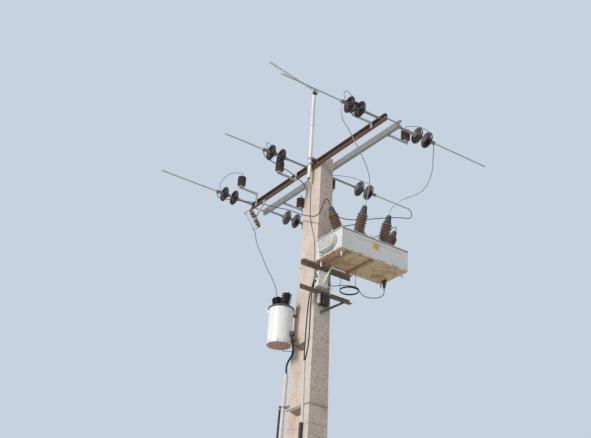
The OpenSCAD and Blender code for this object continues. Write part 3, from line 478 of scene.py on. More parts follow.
# Hot dip galvanising: dull grey spangle, a little brown where it has worn off
ZINC = Finish(
    "dip_galvanised_steel", "galvanised_steel", "#a3a29d", "#8b8883", 22.0, 0.8, "#7d5f47", 35.0,
    (0.62, 0.78), 0.6, 3.0, 0.3, metallic=0.55, roughness=0.5,
)
# Plated bars and brackets, paler and newer than the rest, with small rusty spots
LOOSE_ZINC = Finish(
    "plated_bracket_steel", "galvanised_steel", "#cfcdc6", "#b3b0a8", 30.0, 0.7, "#8a5f3f",
    28.0, (0.58, 0.76), 0.6, 3.0, 0.3, metallic=0.4, roughness=0.5,
)
# Galvanised angle under the tank, worn through: grey that breaks up into brown
RUSTY_ZINC = CarrierSteel(
    "worn_galvanised_angle", "galvanised_steel", "#8f8a82", "#736b61", 70.0, 0.8, "#7c5237",
    40.0, (0.48, 0.7), 0.6, 4.0, 0.5, metallic=0.3, roughness=0.6,
)
# Enamel brushed on the mast: off-white with a soft sheen and thin brown runs
MAST_PAINT = Finish(
    "brushed_mast_enamel", "mast_paint", "#e9e9e6", "#d9d8d3", 90.0, 0.6, "#a99278", 30.0,
    (0.66, 0.84), 0.2, 5.0, 0.2, roughness=0.45,
)
# Drawn aluminium after years outdoors: pale oxide, soft highlight
ALUMINIUM = Finish(
    "weathered_drawn_aluminium", "antenna_metal", "#dcdbd7", "#c4c3be", 40.0, 0.6, "#9a968f",
    15.0, (0.62, 0.82), 1.0, 3.0, 0.15, metallic=0.45, roughness=0.45,
)
# Glazed stoneware of the discs: near-black brown, a small bright glint, dusty on top
DISC_GLAZE = Dusted(
    "dark_glazed_porcelain", "dark_porcelain", "#2e1f1a", "#3a2720", 50.0, 0.6, "#4b3a30", 25.0,
    (0.62, 0.85), 0.8, 20.0, 0.15, roughness=0.34, coat=0.15, dust_share=0.3,
)
# Brown glaze of the bushings: lighter and milkier, as more dust has settled on it
BROWN_GLAZE = Dusted(
    "brown_glazed_porcelain", "brown_porcelain", "#79604c", "#654e3e", 60.0, 0.6, "#8d7862",
    30.0, (0.6, 0.82), 0.6, 20.0, 0.2, roughness=0.38, coat=0.25, dust_share=0.6,
)
# Black glaze of the can's bushings: the darkest and glossiest of the three
BLACK_GLAZE = Dusted(
    "black_glazed_porcelain", "black_porcelain", "#212022", "#2c2a2b", 40.0, 0.5, "#4a4541",
    20.0, (0.64, 0.85), 0.8, 20.0, 0.15, roughness=0.32, coat=0.2, dust_share=0.35,
)
# Moulded silicone sheds: matt, brown, chalky on top
SHED_RUBBER = Dusted(
    "moulded_silicone_sheds", "arrester_polymer", "#675141", "#544235", 30.0, 0.6, "#8a735c",
    20.0, (0.6, 0.8), 0.8, 3.0, 0.2, roughness=0.7, dust_share=0.5,
)
# Moulded rubber: flat dark grey that gives no highlight
BOOT_RUBBER = Dusted(
    "moulded_rubber_boot", "boot_rubber", "#4b4a4b", "#3c3b3c", 30.0, 0.6, "#716a62", 20.0,
    (0.62, 0.8), 0.7, 3.0, 0.2, roughness=0.68, dust_share=0.5,
)
# Enamel sprayed on the tank: clean, satin off-white over large calm faces
SWITCH_PAINT = TankPaint(
    "sprayed_tank_enamel", "tank_paint", "#dfe0dd", "#d0d0ca", 260.0, 0.6, "#b39a78", 26.0,
    (0.68, 0.86), 0.25, 12.0, 0.3, roughness=0.42,
)
# The same enamel on the small tank, warmer, whose low rim has rusted
CAN_PAINT = TankPaint(
    "sprayed_can_enamel", "tank_paint", "#f0efec", "#e2e0da", 200.0, 0.5, "#b08b66", 22.0,
    (0.7, 0.86), 0.2, 10.0, 0.3, roughness=0.4, under="#a87f6c", low_edge=7.13, rust_rise=0.07,
)
# The same enamel on feet, boxes and turrets, chipped and rusty in small patches
LOOSE_PAINT = Finish(
    "sprayed_fitting_enamel", "tank_paint", "#e4e3dd", "#d0cdc3", 60.0, 0.6, "#97683f", 18.0,
    (0.6, 0.78), 0.5, 6.0, 0.3, roughness=0.45,
)
# The same enamel, greyer in the dished panel of the cover
PANEL_PAINT = Finish(
    "grey_panel_enamel", "tank_paint", "#c3c4c0", "#b1afa8", 70.0, 0.7, "#8d7256", 30.0,
    (0.56, 0.76), 0.4, 6.0, 0.3, roughness=0.5,
)
# Bare plate under the tank: sandy, with brown clouds of old rust
UNDERPLATE = Finish(
    "stained_underplate_steel", "tank_underside", "#cdb187", "#b38d68", 150.0, 1.0, "#7c5233",
    70.0, (0.54, 0.7), 1.0, 5.0, 0.5, roughness=0.65,
)
# Pressed lid of the can, weathered to a dusty brown-black
LID_STEEL = Dusted(
    "pressed_lid_steel", "lid_steel", "#4d4845", "#3c3836", 60.0, 0.7, "#6b4a33", 30.0,
    (0.55, 0.75), 1.0, 4.0, 0.4, roughness=0.6, dust_share=0.4,
)
# Wound glass fibre: ivory, smooth, a faint sheen
FIBRE = Finish(
    "wound_glass_fibre", "fuse_fibre", "#e6e5e0", "#d4d2ca", 30.0, 0.6, "#a89c8a", 15.0,
    (0.62, 0.8), 0.4, 2.0, 0.15, roughness=0.35,
)
# Extruded cable sheath: soft black, dusty in streaks
CABLE_SHEATH = Finish(
    "extruded_cable_sheath", "cable_black", "#2b2b2c", "#383737", 60.0, 0.6, "#5c564e", 25.0,
    (0.6, 0.8), 0.5, 2.0, 0.1, roughness=0.6,
)
# The same on thin old cables, bleached by the sun to grey-brown
FEEDER_SHEATH = Finish(
    "sun_bleached_sheath", "cable_black", "#4a4744", "#5a554f", 60.0, 0.6, "#7a6f62", 25.0,
    (0.6, 0.8), 0.5, 2.0, 0.1, roughness=0.65,
)
# Extruded pale plastic: even and matt, with long dirty runs
CONDUIT = Finish(
    "extruded_conduit_plastic", "conduit_grey", "#d6d2cc", "#c2beb7", 150.0, 0.6, "#8c8377",
    40.0, (0.62, 0.82), 0.15, 4.0, 0.1, roughness=0.55,
)
# Extruded black plastic, slightly bluer and smoother than the sheaths
BLACK_CONDUIT = Finish(
    "extruded_black_conduit", "cable_black", "#26272a", "#343537", 150.0, 0.6, "#57524b", 40.0,
    (0.62, 0.82), 0.15, 4.0, 0.1, roughness=0.55,
)
# Enamelled plate: the one strong colour, a little dirty
PLATE_YELLOW = Finish(
    "enamelled_plate_yellow", "tank_paint", "#e0b434", "#cda12c", 20.0, 0.5, "#8f7a3c", 12.0,
    (0.66, 0.84), 0.8, 3.0, 0.1, roughness=0.4,
)
# Preformed galvanised wires: bright, with fine highlights along the lay
GRIP_WIRE = Finish(
    "preformed_grip_wire", "grip_wire", "#cfcec9", "#b4b3ae", 30.0, 0.6, "#86807a", 12.0,
    (0.6, 0.8), 1.0, 2.0, 0.1, metallic=0.7, roughness=0.45,
)
# New stranded aluminium: nearly white against the pole
BRIGHT_STRANDS = LaidWire(
    "stranded_bright_aluminium", "conductor", "#d8dada", "#bfc0c0", 40.0, 0.5, "#98958f", 20.0,
    (0.64, 0.84), 1.0, relief_depth_mm=1.0, metallic=0.3, roughness=0.45, groove="#8b8c8c",
)
# Weathered stranded aluminium: mid grey, dark between the wires
DULL_STRANDS = LaidWire(
    "stranded_weathered_aluminium", "conductor", "#8f9091", "#77787a", 40.0, 0.6, "#5e5b57",
    20.0, (0.6, 0.8), 1.0, relief_depth_mm=1.0, metallic=0.45, roughness=0.55,
)
# Stranded copper gone dark: charcoal, reads as black against the sky
DARK_STRANDS = LaidWire(
    "stranded_dark_copper", "conductor", "#4a4b4e", "#3a3b3e", 40.0, 0.6, "#6a625a", 20.0,
    (0.62, 0.8), 1.0, relief_depth_mm=1.0, metallic=0.3, roughness=0.6,
)


# ---- shapes ----


def smooth_line(points: list, step: float, unit: float = MM) -> list[Vector]:
    """Runs one smooth curve through given points.

    Args:
        points: The points of the route.
        step: Distance in metres between the curve's own points.
        unit: What the numbers of the route count, in metres.

    Returns:
        The curve's points in metres.
    """
    p = [Vector(q) * unit for q in points]
    p = [2 * p[0] - p[1], *p, 2 * p[-1] - p[-2]]
    line = []
    for k in range(1, len(p) - 2):
        near = p[k - 1 : k + 3]
        t = [0.0]
        for a, b in zip(near, near[1:]):
            t.append(t[-1] + max((b - a).length, 1e-9) ** 0.5)
        count = max(2, math.ceil((near[2] - near[1]).length / step))
        for j in range(count):
            u = t[1] + (t[2] - t[1]) * j / count
            q = near
            for reach, first in ((1, 0), (2, 0), (1, 1)):
                q = [
                    q[i] * ((t[i + first + reach] - u) / (t[i + first + reach] - t[i + first]))
                    + q[i + 1] * ((u - t[i + first]) / (t[i + first + reach] - t[i + first]))
                    for i in range(len(q) - 1)
                ]
            line.append(q[0])
    return [*line, p[-2]]


def eased(line: list[Vector], rounds: int) -> list[Vector]:
    """Widens the tight bends of a line, as a stiff conductor would, with its ends held.

    Args:
        line: The line's points.
        rounds: How often each point moves towards the middle of its neighbours.

    Returns:
        The eased points.
    """
    for _ in range(rounds):
        inner = [(a + 2 * b + c) / 4 for a, b, c in zip(line[1:], line[2:-2], line[3:])]
        line = [*line[:2], *inner, *line[-2:]]
    return line


def new_object(name: str, data: bpy.types.ID) -> Piece:
    """Links a mesh, lamp or camera to the scene as an object at the origin."""
    made = bpy.data.objects.new(name, data)
    bpy.context.scene.collection.objects.link(made)
    return made


def dress(finish: Finish, *nodes: str) -> None:
    """Gives CAD nodes that stay their material."""
    for node in nodes:
        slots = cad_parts[node].data.materials
        slots.clear()
        slots.append(finish.material())
        LOG.info("%s: %s", node, finish.name)


def standing(origin: Vector, axis: Vector) -> Matrix:
    """Matrix that puts the Z axis on an axis, at an origin."""
    turn = UP.rotation_difference(axis.normalized()).to_matrix().to_4x4()
    return Matrix.Translation(origin) @ turn


def raised(place: Matrix, height: float) -> Matrix:
    """A place moved up along its own Z axis."""
    return place @ Matrix.Translation((0, 0, height))


def ring(
    radius: float, height: float, count: int, first: float = 0.0, oval: float = 0.0
) -> list[Vector]:
    """Points round the Z axis, on a circle or on an oval with straight sides.

    Args:
        radius: Radius of the circle or of the oval's round ends.
        height: Height of the points.
        count: How many there are.
        first: Share of a step before the first.
        oval: Half the length of the straight sides, along X.

    Returns:
        The points.
    """
    angles = [math.tau * (k + first) / count for k in range(count)]
    ends = [math.copysign(oval, math.cos(a)) + radius * math.cos(a) for a in angles]
    return [Vector((x, radius * math.sin(a), height)) for x, a in zip(ends, angles)]


class Form:
    """A shape in the making, put together from simple bodies.

    Attributes:
        mesh: What it holds so far.
    """

    def __init__(self) -> None:
        """Starts with nothing."""
        self.mesh = bmesh.new()

    def skin(self, rows: list[list[Vector]], closed: bool = False) -> "Form":
        """Lays faces between rows of points.

        Args:
            rows: The rows, from the foot up; a row of one point is a tip.
            closed: Whether the last row meets the first; otherwise the ends are capped.

        Returns:
            This form.
        """
        made = [[self.mesh.verts.new(p) for p in row] for row in rows]
        count = max(len(row) for row in made)
        for low, high in zip(made, made[1:] + made[:1] if closed else made[1:]):
            for k in range(count):
                j = (k + 1) % count
                corners = [low[k % len(low)], low[j % len(low)]]
                corners += [high[j % len(high)], high[k % len(high)]]
                self.mesh.faces.new(list(dict.fromkeys(corners)))
        for end in () if closed else (made[0][::-1], made[-1]):
            if len(end) > 1:
                self.mesh.faces.new(end)
        return self

    def turn(
        self,
        profile: Profile,
        place: Matrix,
        sides: int = 40,
        oval: float = 0.0,
        closed: bool = False,
    ) -> "Form":
        """Adds a body of revolution, or one drawn out to an oval.

        Args:
            profile: Radius and height of each row, from the foot up.
            place: Where its axis stands.
            sides: Sides of its section.
            oval: Half the length of its straight sides, along its own X axis.
            closed: Whether the last row meets the first.

        Returns:
            This form.
        """
        first = 0.5 if oval else 0.0
        rows = [ring(r, z, sides if r > 1e-6 else 1, first, oval) for r, z in profile]
        return self.skin([[place @ spot for spot in row] for row in rows], closed)

    def slab(self, size: tuple, centre: Vector, edge: float = 1.5 * MM) -> "Form":
        """Adds a block with softened edges.

        Args:
            size: Its three sizes.
            centre: Its centre.
            edge: Width of the softened edges.

        Returns:
            This form.
        """
        made = bmesh.ops.create_cube(self.mesh, size=1.0)["verts"]
        place = Matrix.Translation(centre) @ Matrix.Diagonal((*size, 1.0))
        bmesh.ops.transform(self.mesh, matrix=place, verts=made)
        edges = list(dict.fromkeys(e for v in made for e in v.link_edges))
        bmesh.ops.bevel(
            self.mesh, geom=edges, offset=edge, segments=2, affect="EDGES", profile=0.7
        )
        return self

    def tube(self, line: list[Vector], radius: float, sides: int = 12) -> "Form":
        """Adds a tube along a line, with a UV map that counts turns and metres.

        Args:
            line: Its centre line.
            radius: Its radius.
            sides: Sides of its section.

        Returns:
            This form.
        """
        layer = self.mesh.loops.layers.uv.new("UVMap")
        last, before = len(line) - 1, len(self.mesh.faces)
        angles = [a * math.tau / sides for a in range(sides)]
        rows, run, side = [], [0.0], (line[1] - line[0]).normalized().orthogonal()
        for k, centre in enumerate(line):
            heading = (line[min(k + 1, last)] - line[max(k - 1, 0)]).normalized()
            side = (side - heading * side.dot(heading)).normalized()
            other = heading.cross(side)
            spokes = [side * math.cos(a) + other * math.sin(a) for a in angles]
            rows.append([centre + radius * spoke for spoke in spokes])
            run.append(run[-1] + (line[min(k + 1, last)] - centre).length)
        self.skin(rows)
        for n, face in enumerate(list(self.mesh.faces)[before : before + last * sides]):
            k, a = divmod(n, sides)
            spots = ((a, k), (a + 1, k), (a + 1, k + 1), (a, k + 1))
            for loop, (turn, row) in zip(face.loops, spots):
                loop[layer].uv = (turn / sides, run[row])
        return self

    def grow(
        self,
        tree: Tree,
        sizes: dict[str, float],
        place: Matrix = HERE,
        seeds: bpy.types.Mesh = None,
    ) -> "Form":
        """Runs a geometry tree and adds what it makes as plain mesh.

        Args:
            tree: The geometry tree.
            sizes: Values of its inputs by name.
            place: Where the result stands.
            seeds: Mesh that the tree starts from, where it needs one.

        Returns:
            This form.
        """
        holder = new_object("growing", seeds or bpy.data.meshes.new("seeds"))
        modifier = holder.modifiers.new("grow", "NODES")
        modifier.node_group = tree
        sockets = {i.name: i.identifier for i in tree.interface.items_tree if i.in_out == "INPUT"}
        for name, value in sizes.items():
            modifier[sockets[name]] = value
        bpy.context.view_layer.update()
        seen = holder.evaluated_get(bpy.context.evaluated_depsgraph_get())
        made = bpy.data.meshes.new_from_object(seen)
        holder.modifiers.remove(modifier)
        bpy.data.objects.remove(holder)
        made.transform(place)
        self.mesh.from_mesh(made)
        return self

    def piece(
        self, name: str, finish: Finish, stands_for: tuple = (), slot: str = "", sharp: float = 40.0
    ) -> Piece:
        """Turns the form into a piece with outward faces, its material and body.

        Args:
            name: Name of the piece.
            finish: Its finish.
            stands_for: CAD nodes that it hides.
            slot: Its material slot, where it isn't the finish's own; not used.
            sharp: Angle above which an edge stays sharp.

        Returns:
            The piece.
        """
        bmesh.ops.remove_doubles(self.mesh, verts=self.mesh.verts, dist=1e-6)
        bmesh.ops.recalc_face_normals(self.mesh, faces=self.mesh.faces)
        soft = math.radians(sharp)
        for edge in self.mesh.edges:
            edge.smooth = len(edge.link_faces) != 2 or edge.calc_face_angle(0.0) < soft
        for face in self.mesh.faces:
            face.smooth = True
        data = bpy.data.meshes.new(name)
        self.mesh.to_mesh(data)
        self.mesh.free()
        data.materials.append(finish.material())
        made = new_object(name, data)
        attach(made, BODY)
        if stands_for:
            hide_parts(*stands_for)
        LOG.info("%s: %d faces, %s", name, len(data.polygons), finish.name)
        return made


@dataclass(frozen=True)
class Solid:
    """One solid of a CAD node, measured from its own points.

    Attributes:
        place: Matrix that puts the Z axis on its long axis, with the origin at its foot.
        axis: Direction of that axis.
        length: Length along it.
        radius: Greatest distance from it.
        points: Its corners.
    """

    place: Matrix
    axis: Vector
    length: float
    radius: float
    points: np.ndarray


def islands(node: str) -> list[np.ndarray]:
    """Corners of each separate solid of a CAD node, in order of place."""
    mesh = bmesh.new()
    mesh.from_mesh(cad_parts[node].data)
    bmesh.ops.remove_doubles(mesh, verts=mesh.verts, dist=1e-5)
    left, found = set(mesh.verts), []
    while left:
        group, rim = [], [left.pop()]
        while rim:
            vert = rim.pop()
            group.append(vert.co[:])
            fresh = {link.other_vert(vert) for link in vert.link_edges} & left
            left -= fresh
            rim.extend(fresh)
        found.append(np.array(sorted(group)))
    mesh.free()
    return sorted(found, key=lambda g: tuple(np.round(g.mean(0), 3)))


def solids_of(node: str, toward: Vector, fitted: bool = False) -> list[Solid]:
    """Measures the solids of a node.

    Args:
        node: Name of the node.
        toward: Direction of each solid's axis.
        fitted: Whether that is rough, and the axis is fitted to the solid's own points.

    Returns:
        The solids, in order of place.
    """
    found = []
    for points in islands(node):
        centre, axis = (points.min(0) + points.max(0)) / 2, toward
        if fitted:
            centre = points.mean(0)
            values, axes = np.linalg.eigh(np.cov((points - centre).T))
            single = 0 if values[2] - values[1] < values[1] - values[0] else 2
            axis = Vector(axes[:, single])
        axis = axis.normalized() * (1 if axis.dot(toward) > 0 else -1)
        along = (points - centre) @ np.array(axis)
        across = np.linalg.norm(points - centre - along[:, None] * np.array(axis), axis=1)
        place = standing(Vector(centre) + axis * float(along.min()), axis)
        found.append(Solid(place, axis, float(np.ptp(along)), float(across.max()), points))
    return found


# ---- Geometry Nodes ----


class Repeat(Enum):
    """What the node trees make."""

    RIBS = "ribbed_insulator"
    WIRES = "laid_grip_wires"
    BOLTS = "hexagon_bolts"


def start_tree(kind: Repeat, sizes: dict[str, float]) -> tuple[Tree, bpy.types.NodeOutputs]:
    """Starts a geometry tree with named inputs.

    Args:
        kind: What it makes.
        sizes: Its inputs and their values, whole numbers for counts.

    Returns:
        The tree and its inputs.
    """
    tree = bpy.data.node_groups.new(kind.value, "GeometryNodeTree")
    for way in ("INPUT", "OUTPUT"):
        tree.interface.new_socket("Geometry", in_out=way, socket_type="NodeSocketGeometry")
    for name, value in sizes.items():
        sort = "NodeSocketInt" if isinstance(value, int) else "NodeSocketFloat"
        tree.interface.new_socket(name, in_out="INPUT", socket_type=sort).default_value = value
    return tree, add_node(tree, "NodeGroupInput").outputs


def end_tree(tree: Tree, geometry: Socket, finish: Finish) -> Tree:
    """Ends a tree in real geometry with its material.

    Args:
        tree: The tree.
        geometry: What it has made.
        finish: Its finish.

    Returns:
        The tree.
    """
    real = add_node(tree, "GeometryNodeRealizeInstances", {"Geometry": geometry}).outputs[0]
    look = {"Geometry": real, "Material": finish.material()}
    painted = add_node(tree, "GeometryNodeSetMaterial", look).outputs[0]
    add_node(tree, "NodeGroupOutput", {"Geometry": painted})
    return tree


def rib_tree(finish: Finish) -> Tree:
    """Tree of a core with evenly spaced sheds, turned round the Z axis."""
    sizes = {"Length": 0.3, "Core": 0.05, "Shed": 0.08, "Count": 6, "Sides": 36}
    tree, given = start_tree(Repeat.RIBS, sizes)
    end = add_node(tree, "ShaderNodeCombineXYZ", {"Z": given["Length"]})
    axis = add_node(tree, "GeometryNodeCurvePrimitiveLine", {"End": end.outputs[0]})
    rows = {0: given["Count"], 1: 16.0, 2: 1.0}
    count = add_node(tree, "ShaderNodeMath", rows, operation="MULTIPLY_ADD").outputs[0]
    fine = add_node(tree, "GeometryNodeResampleCurve", {"Curve": axis.outputs[0], "Count": count})
    share = add_node(tree, "GeometryNodeSplineParameter").outputs["Factor"]
    turns = add_node(tree, "ShaderNodeMath", {0: share, 1: given["Count"]}, operation="MULTIPLY")
    # The last ring sits just short of a whole turn, so that it ends as the others begin
    short = {0: turns.outputs[0], 1: 0.9999}
    part = add_node(tree, "ShaderNodeMath", short, operation="MULTIPLY").outputs[0]
    part = add_node(tree, "ShaderNodeMath", {0: part}, operation="FRACT").outputs[0]
    both = {}
    for k, (low, high) in enumerate(((0.18, 0.36), (0.96, 0.5))):
        ends = {"Value": part, "From Min": low, "From Max": high}
        ramp = add_node(tree, "ShaderNodeMapRange", ends, interpolation_type="SMOOTHSTEP")
        both[k] = ramp.outputs["Result"]
    swell = add_node(tree, "ShaderNodeMath", both, operation="MULTIPLY").outputs[0]
    reach = {0: swell, 2: given["Core"], 3: given["Shed"]}
    radius = add_node(tree, "ShaderNodeMix", reach, data_type="FLOAT").outputs[0]
    circle = {"Resolution": given["Sides"], "Radius": 1.0}
    loop = add_node(tree, "GeometryNodeCurvePrimitiveCircle", circle).outputs[0]
    sweep = {"Curve": fine.outputs[0], "Profile Curve": loop, "Scale": radius, "Fill Caps": True}
    body = add_node(tree, "GeometryNodeCurveToMesh", sweep)
    return end_tree(tree, body.outputs[0], finish)


def shed_sizes(
    length: float, core: float, shed: float, count: int, sides: int
) -> dict[str, float]:
    """Inputs of the tree of sheds, by name."""
    return {"Length": length, "Core": core, "Shed": shed, "Count": count, "Sides": sides}


def wire_tree(finish: Finish) -> Tree:
    """Tree of wires laid round a core, from the foot up."""
    sizes = {"Length": 1.0, "Radius": 0.006, "Wire": 0.002, "Turns": 7.0, "Wires": 6}
    tree, given = start_tree(Repeat.WIRES, sizes)
    helix = {
        "Rotations": given["Turns"], "Start Radius": given["Radius"],
        "End Radius": given["Radius"], "Height": given["Length"], "Resolution": 12,
    }
    one = add_node(tree, "GeometryNodeCurveSpiral", helix).outputs[0]
    starts = {"Count": given["Wires"], "Offset": (0, 0, 0)}
    starts = add_node(tree, "GeometryNodeMeshLine", starts).outputs[0]
    number = add_node(tree, "GeometryNodeInputIndex").outputs[0]
    turn = add_node(tree, "ShaderNodeMath", {0: number, 1: given["Wires"]}, operation="DIVIDE")
    turn = {0: turn.outputs[0], 1: math.tau}
    angle = add_node(tree, "ShaderNodeMath", turn, operation="MULTIPLY").outputs[0]
    about = add_node(tree, "ShaderNodeCombineXYZ", {"Z": angle}).outputs[0]
    laid = {"Points": starts, "Instance": one, "Rotation": about}
    laid = add_node(tree, "GeometryNodeInstanceOnPoints", laid).outputs[0]
    lines = add_node(tree, "GeometryNodeRealizeInstances", {"Geometry": laid}).outputs[0]
    circle = {"Radius": given["Wire"], "Resolution": 6}
    loop = add_node(tree, "GeometryNodeCurvePrimitiveCircle", circle).outputs[0]
    sweep = {"Curve": lines, "Profile Curve": loop, "Fill Caps": True}
    return end_tree(tree, add_node(tree, "GeometryNodeCurveToMesh", sweep).outputs[0], finish)


def bolt_tree(finish: Finish) -> Tree:
    """Tree that puts a hexagon head on a washer at each point, along its facing."""
    tree, given = start_tree(Repeat.BOLTS, {"Size": 0.01})
    head, washer = (
        add_node(tree, "GeometryNodeMeshCylinder", {"Radius": r, "Depth": d, "Vertices": n})
        for r, d, n in ((1.0, 1.0, 6), (1.35, 0.3, 14))
    )
    lift = {"Geometry": head.outputs[0], "Translation": (0, 0, 0.5)}
    lifted = add_node(tree, "GeometryNodeTransform", lift).outputs[0]
    pair = add_node(tree, "GeometryNodeJoinGeometry", {0: lifted})
    tree.links.new(washer.outputs[0], pair.inputs[0])
    way = add_node(
        tree, "GeometryNodeInputNamedAttribute", {"Name": "facing"}, data_type="FLOAT_VECTOR"
    )
    turn = add_node(
        tree, "FunctionNodeAlignRotationToVector", {"Vector": way.outputs[0]}, axis="Z"
    )
    laid = {"Points": given["Geometry"], "Instance": pair.outputs[0], "Scale": given["Size"]}
    laid["Rotation"] = turn.outputs[0]
    return end_tree(tree, add_node(tree, "GeometryNodeInstanceOnPoints", laid).outputs[0], finish)


def bolts(
    name: str, finish: Finish, spots: list[Vector], facing: Vector | list[Vector], size: float
) -> None:
    """Sets bolts on a piece.

    Args:
        name: Name of the piece.
        finish: Finish of the bolts.
        spots: Foot of each bolt.
        facing: The way they all face, or one way for each.
        size: Half the width of a head over its corners.
    """
    ways = [facing] * len(spots) if isinstance(facing, Vector) else facing
    seeds = bpy.data.meshes.new("bolt_feet")
    seeds.from_pydata([tuple(spot) for spot in spots], [], [])
    held = seeds.attributes.new("facing", "FLOAT_VECTOR", "POINT")
    held.data.foreach_set("vector", [c for way in ways for c in way])
    # Every edge of a bolt stays sharp
    Form().grow(bolt_tree(finish), {"Size": size}, seeds=seeds).piece(name, finish, sharp=1.0)


# ---- camera, light and floor ----


def set_camera() -> None:
    """Puts the camera where the photograph was taken."""
    turn, rise, roll = (math.radians(a) for a in (EYE_TURN, EYE_RISE, EYE_ROLL))
    flat = math.cos(rise)
    ahead = Vector((math.sin(turn) * flat, math.cos(turn) * flat, math.sin(rise)))
    level = Vector((math.cos(turn), -math.sin(turn), 0))
    above = level.cross(ahead)
    right = level * math.cos(roll) + above * math.sin(roll)
    up = above * math.cos(roll) - level * math.sin(roll)
    data = bpy.data.cameras.new("photograph")
    data.sensor_fit = "HORIZONTAL"
    data.sensor_width = SENSOR_MM
    data.lens = SENSOR_MM * FOCAL_PX / FRAME_PX
    data.clip_end = 200.0
    camera = new_object("photograph_camera", data)
    axes = Matrix((right, up, -ahead)).transposed().to_4x4()
    camera.matrix_world = Matrix.Translation(EYE) @ axes
    bpy.context.scene.camera = camera
    LOG.info("camera: %.2f mm", data.lens)


def set_light() -> None:
    """Lights the object softly, with a key lamp on the side that the sun was on."""
    lamp = bpy.data.lights.new("key", "SUN")
    lamp.energy = KEY_STRENGTH
    lamp.angle = math.radians(12)
    lamp.color = KEY_COLOUR
    new_object("key_lamp", lamp).rotation_euler = KEY_FROM.to_track_quat("Z", "Y").to_euler()
    world = bpy.data.worlds.new("studio")
    bpy.context.scene.world = world
    world.use_nodes = True
    tree = world.node_tree
    tree.nodes.clear()
    rays = add_node(tree, "ShaderNodeLightPath").outputs
    seen = rays["Is Camera Ray"]
    for other in ("Is Glossy Ray", "Is Transmission Ray"):
        pair = {0: seen, 1: rays[other]}
        seen = add_node(tree, "ShaderNodeMath", pair, operation="MAXIMUM").outputs[0]
    shown = {0: seen}
    for key, colour, strength in ((1, SKY_COLOUR, SKY_STRENGTH), (2, BACKDROP, 1.0)):
        even = {"Color": linear(colour), "Strength": strength}
        shown[key] = add_node(tree, "ShaderNodeBackground", even).outputs[0]
    mix = add_node(tree, "ShaderNodeMixShader", shown)
    add_node(tree, "ShaderNodeOutputWorld", {"Surface": mix.outputs[0]})


def set_floor() -> None:
    """Lays the pale floor."""
    mesh = bpy.data.meshes.new("floor")
    signs = ((-1, -1), (1, -1), (1, 1), (-1, 1))
    mesh.from_pydata([(x * FLOOR_HALF, y * FLOOR_HALF, -MM) for x, y in signs], [], [range(4)])
    made = bpy.data.materials.new("pale_floor")
    made.use_nodes = True
    shader = made.node_tree.nodes["Principled BSDF"]
    shader.inputs["Base Color"].default_value = linear(FLOOR_COLOUR)
    shader.inputs["Roughness"].default_value = 0.9
    mesh.materials.append(made)
    new_object("floor", mesh)


# ---- cords ----


@dataclass(frozen=True)
class Cord:
    """A conductor or cable that hangs between two fittings.

    Attributes:
        node: CAD node that it stands for.
        route: Its points in millimetres, as the part's source has them.
        diameter: Its diameter in millimetres.
        finish: Its finish.
        stiffness: How stiff it is; not used.
        easing: How often its bends are eased.
        step: Distance in metres between the points of its curve.
        slot: Its material slot.
        lay: How it lies; not used.
        also: Other CAD nodes that it stands for.
    """

    node: str
    route: tuple
    diameter: float
    finish: Finish
    stiffness: str = "stiff"
    easing: int = 10
    step: float = 0.014
    slot: str = "conductor"
    lay: str = "hanging"
    also: tuple = ()

    def build(self) -> None:
        """Builds the cord."""
        line = eased(smooth_line(self.route, self.step), self.easing)
        form = Form().tube(line, self.diameter * MM / 2)
        nodes = (self.node, *self.also)
        form.piece(self.node + "_line", self.finish, nodes, self.slot, BENDS)


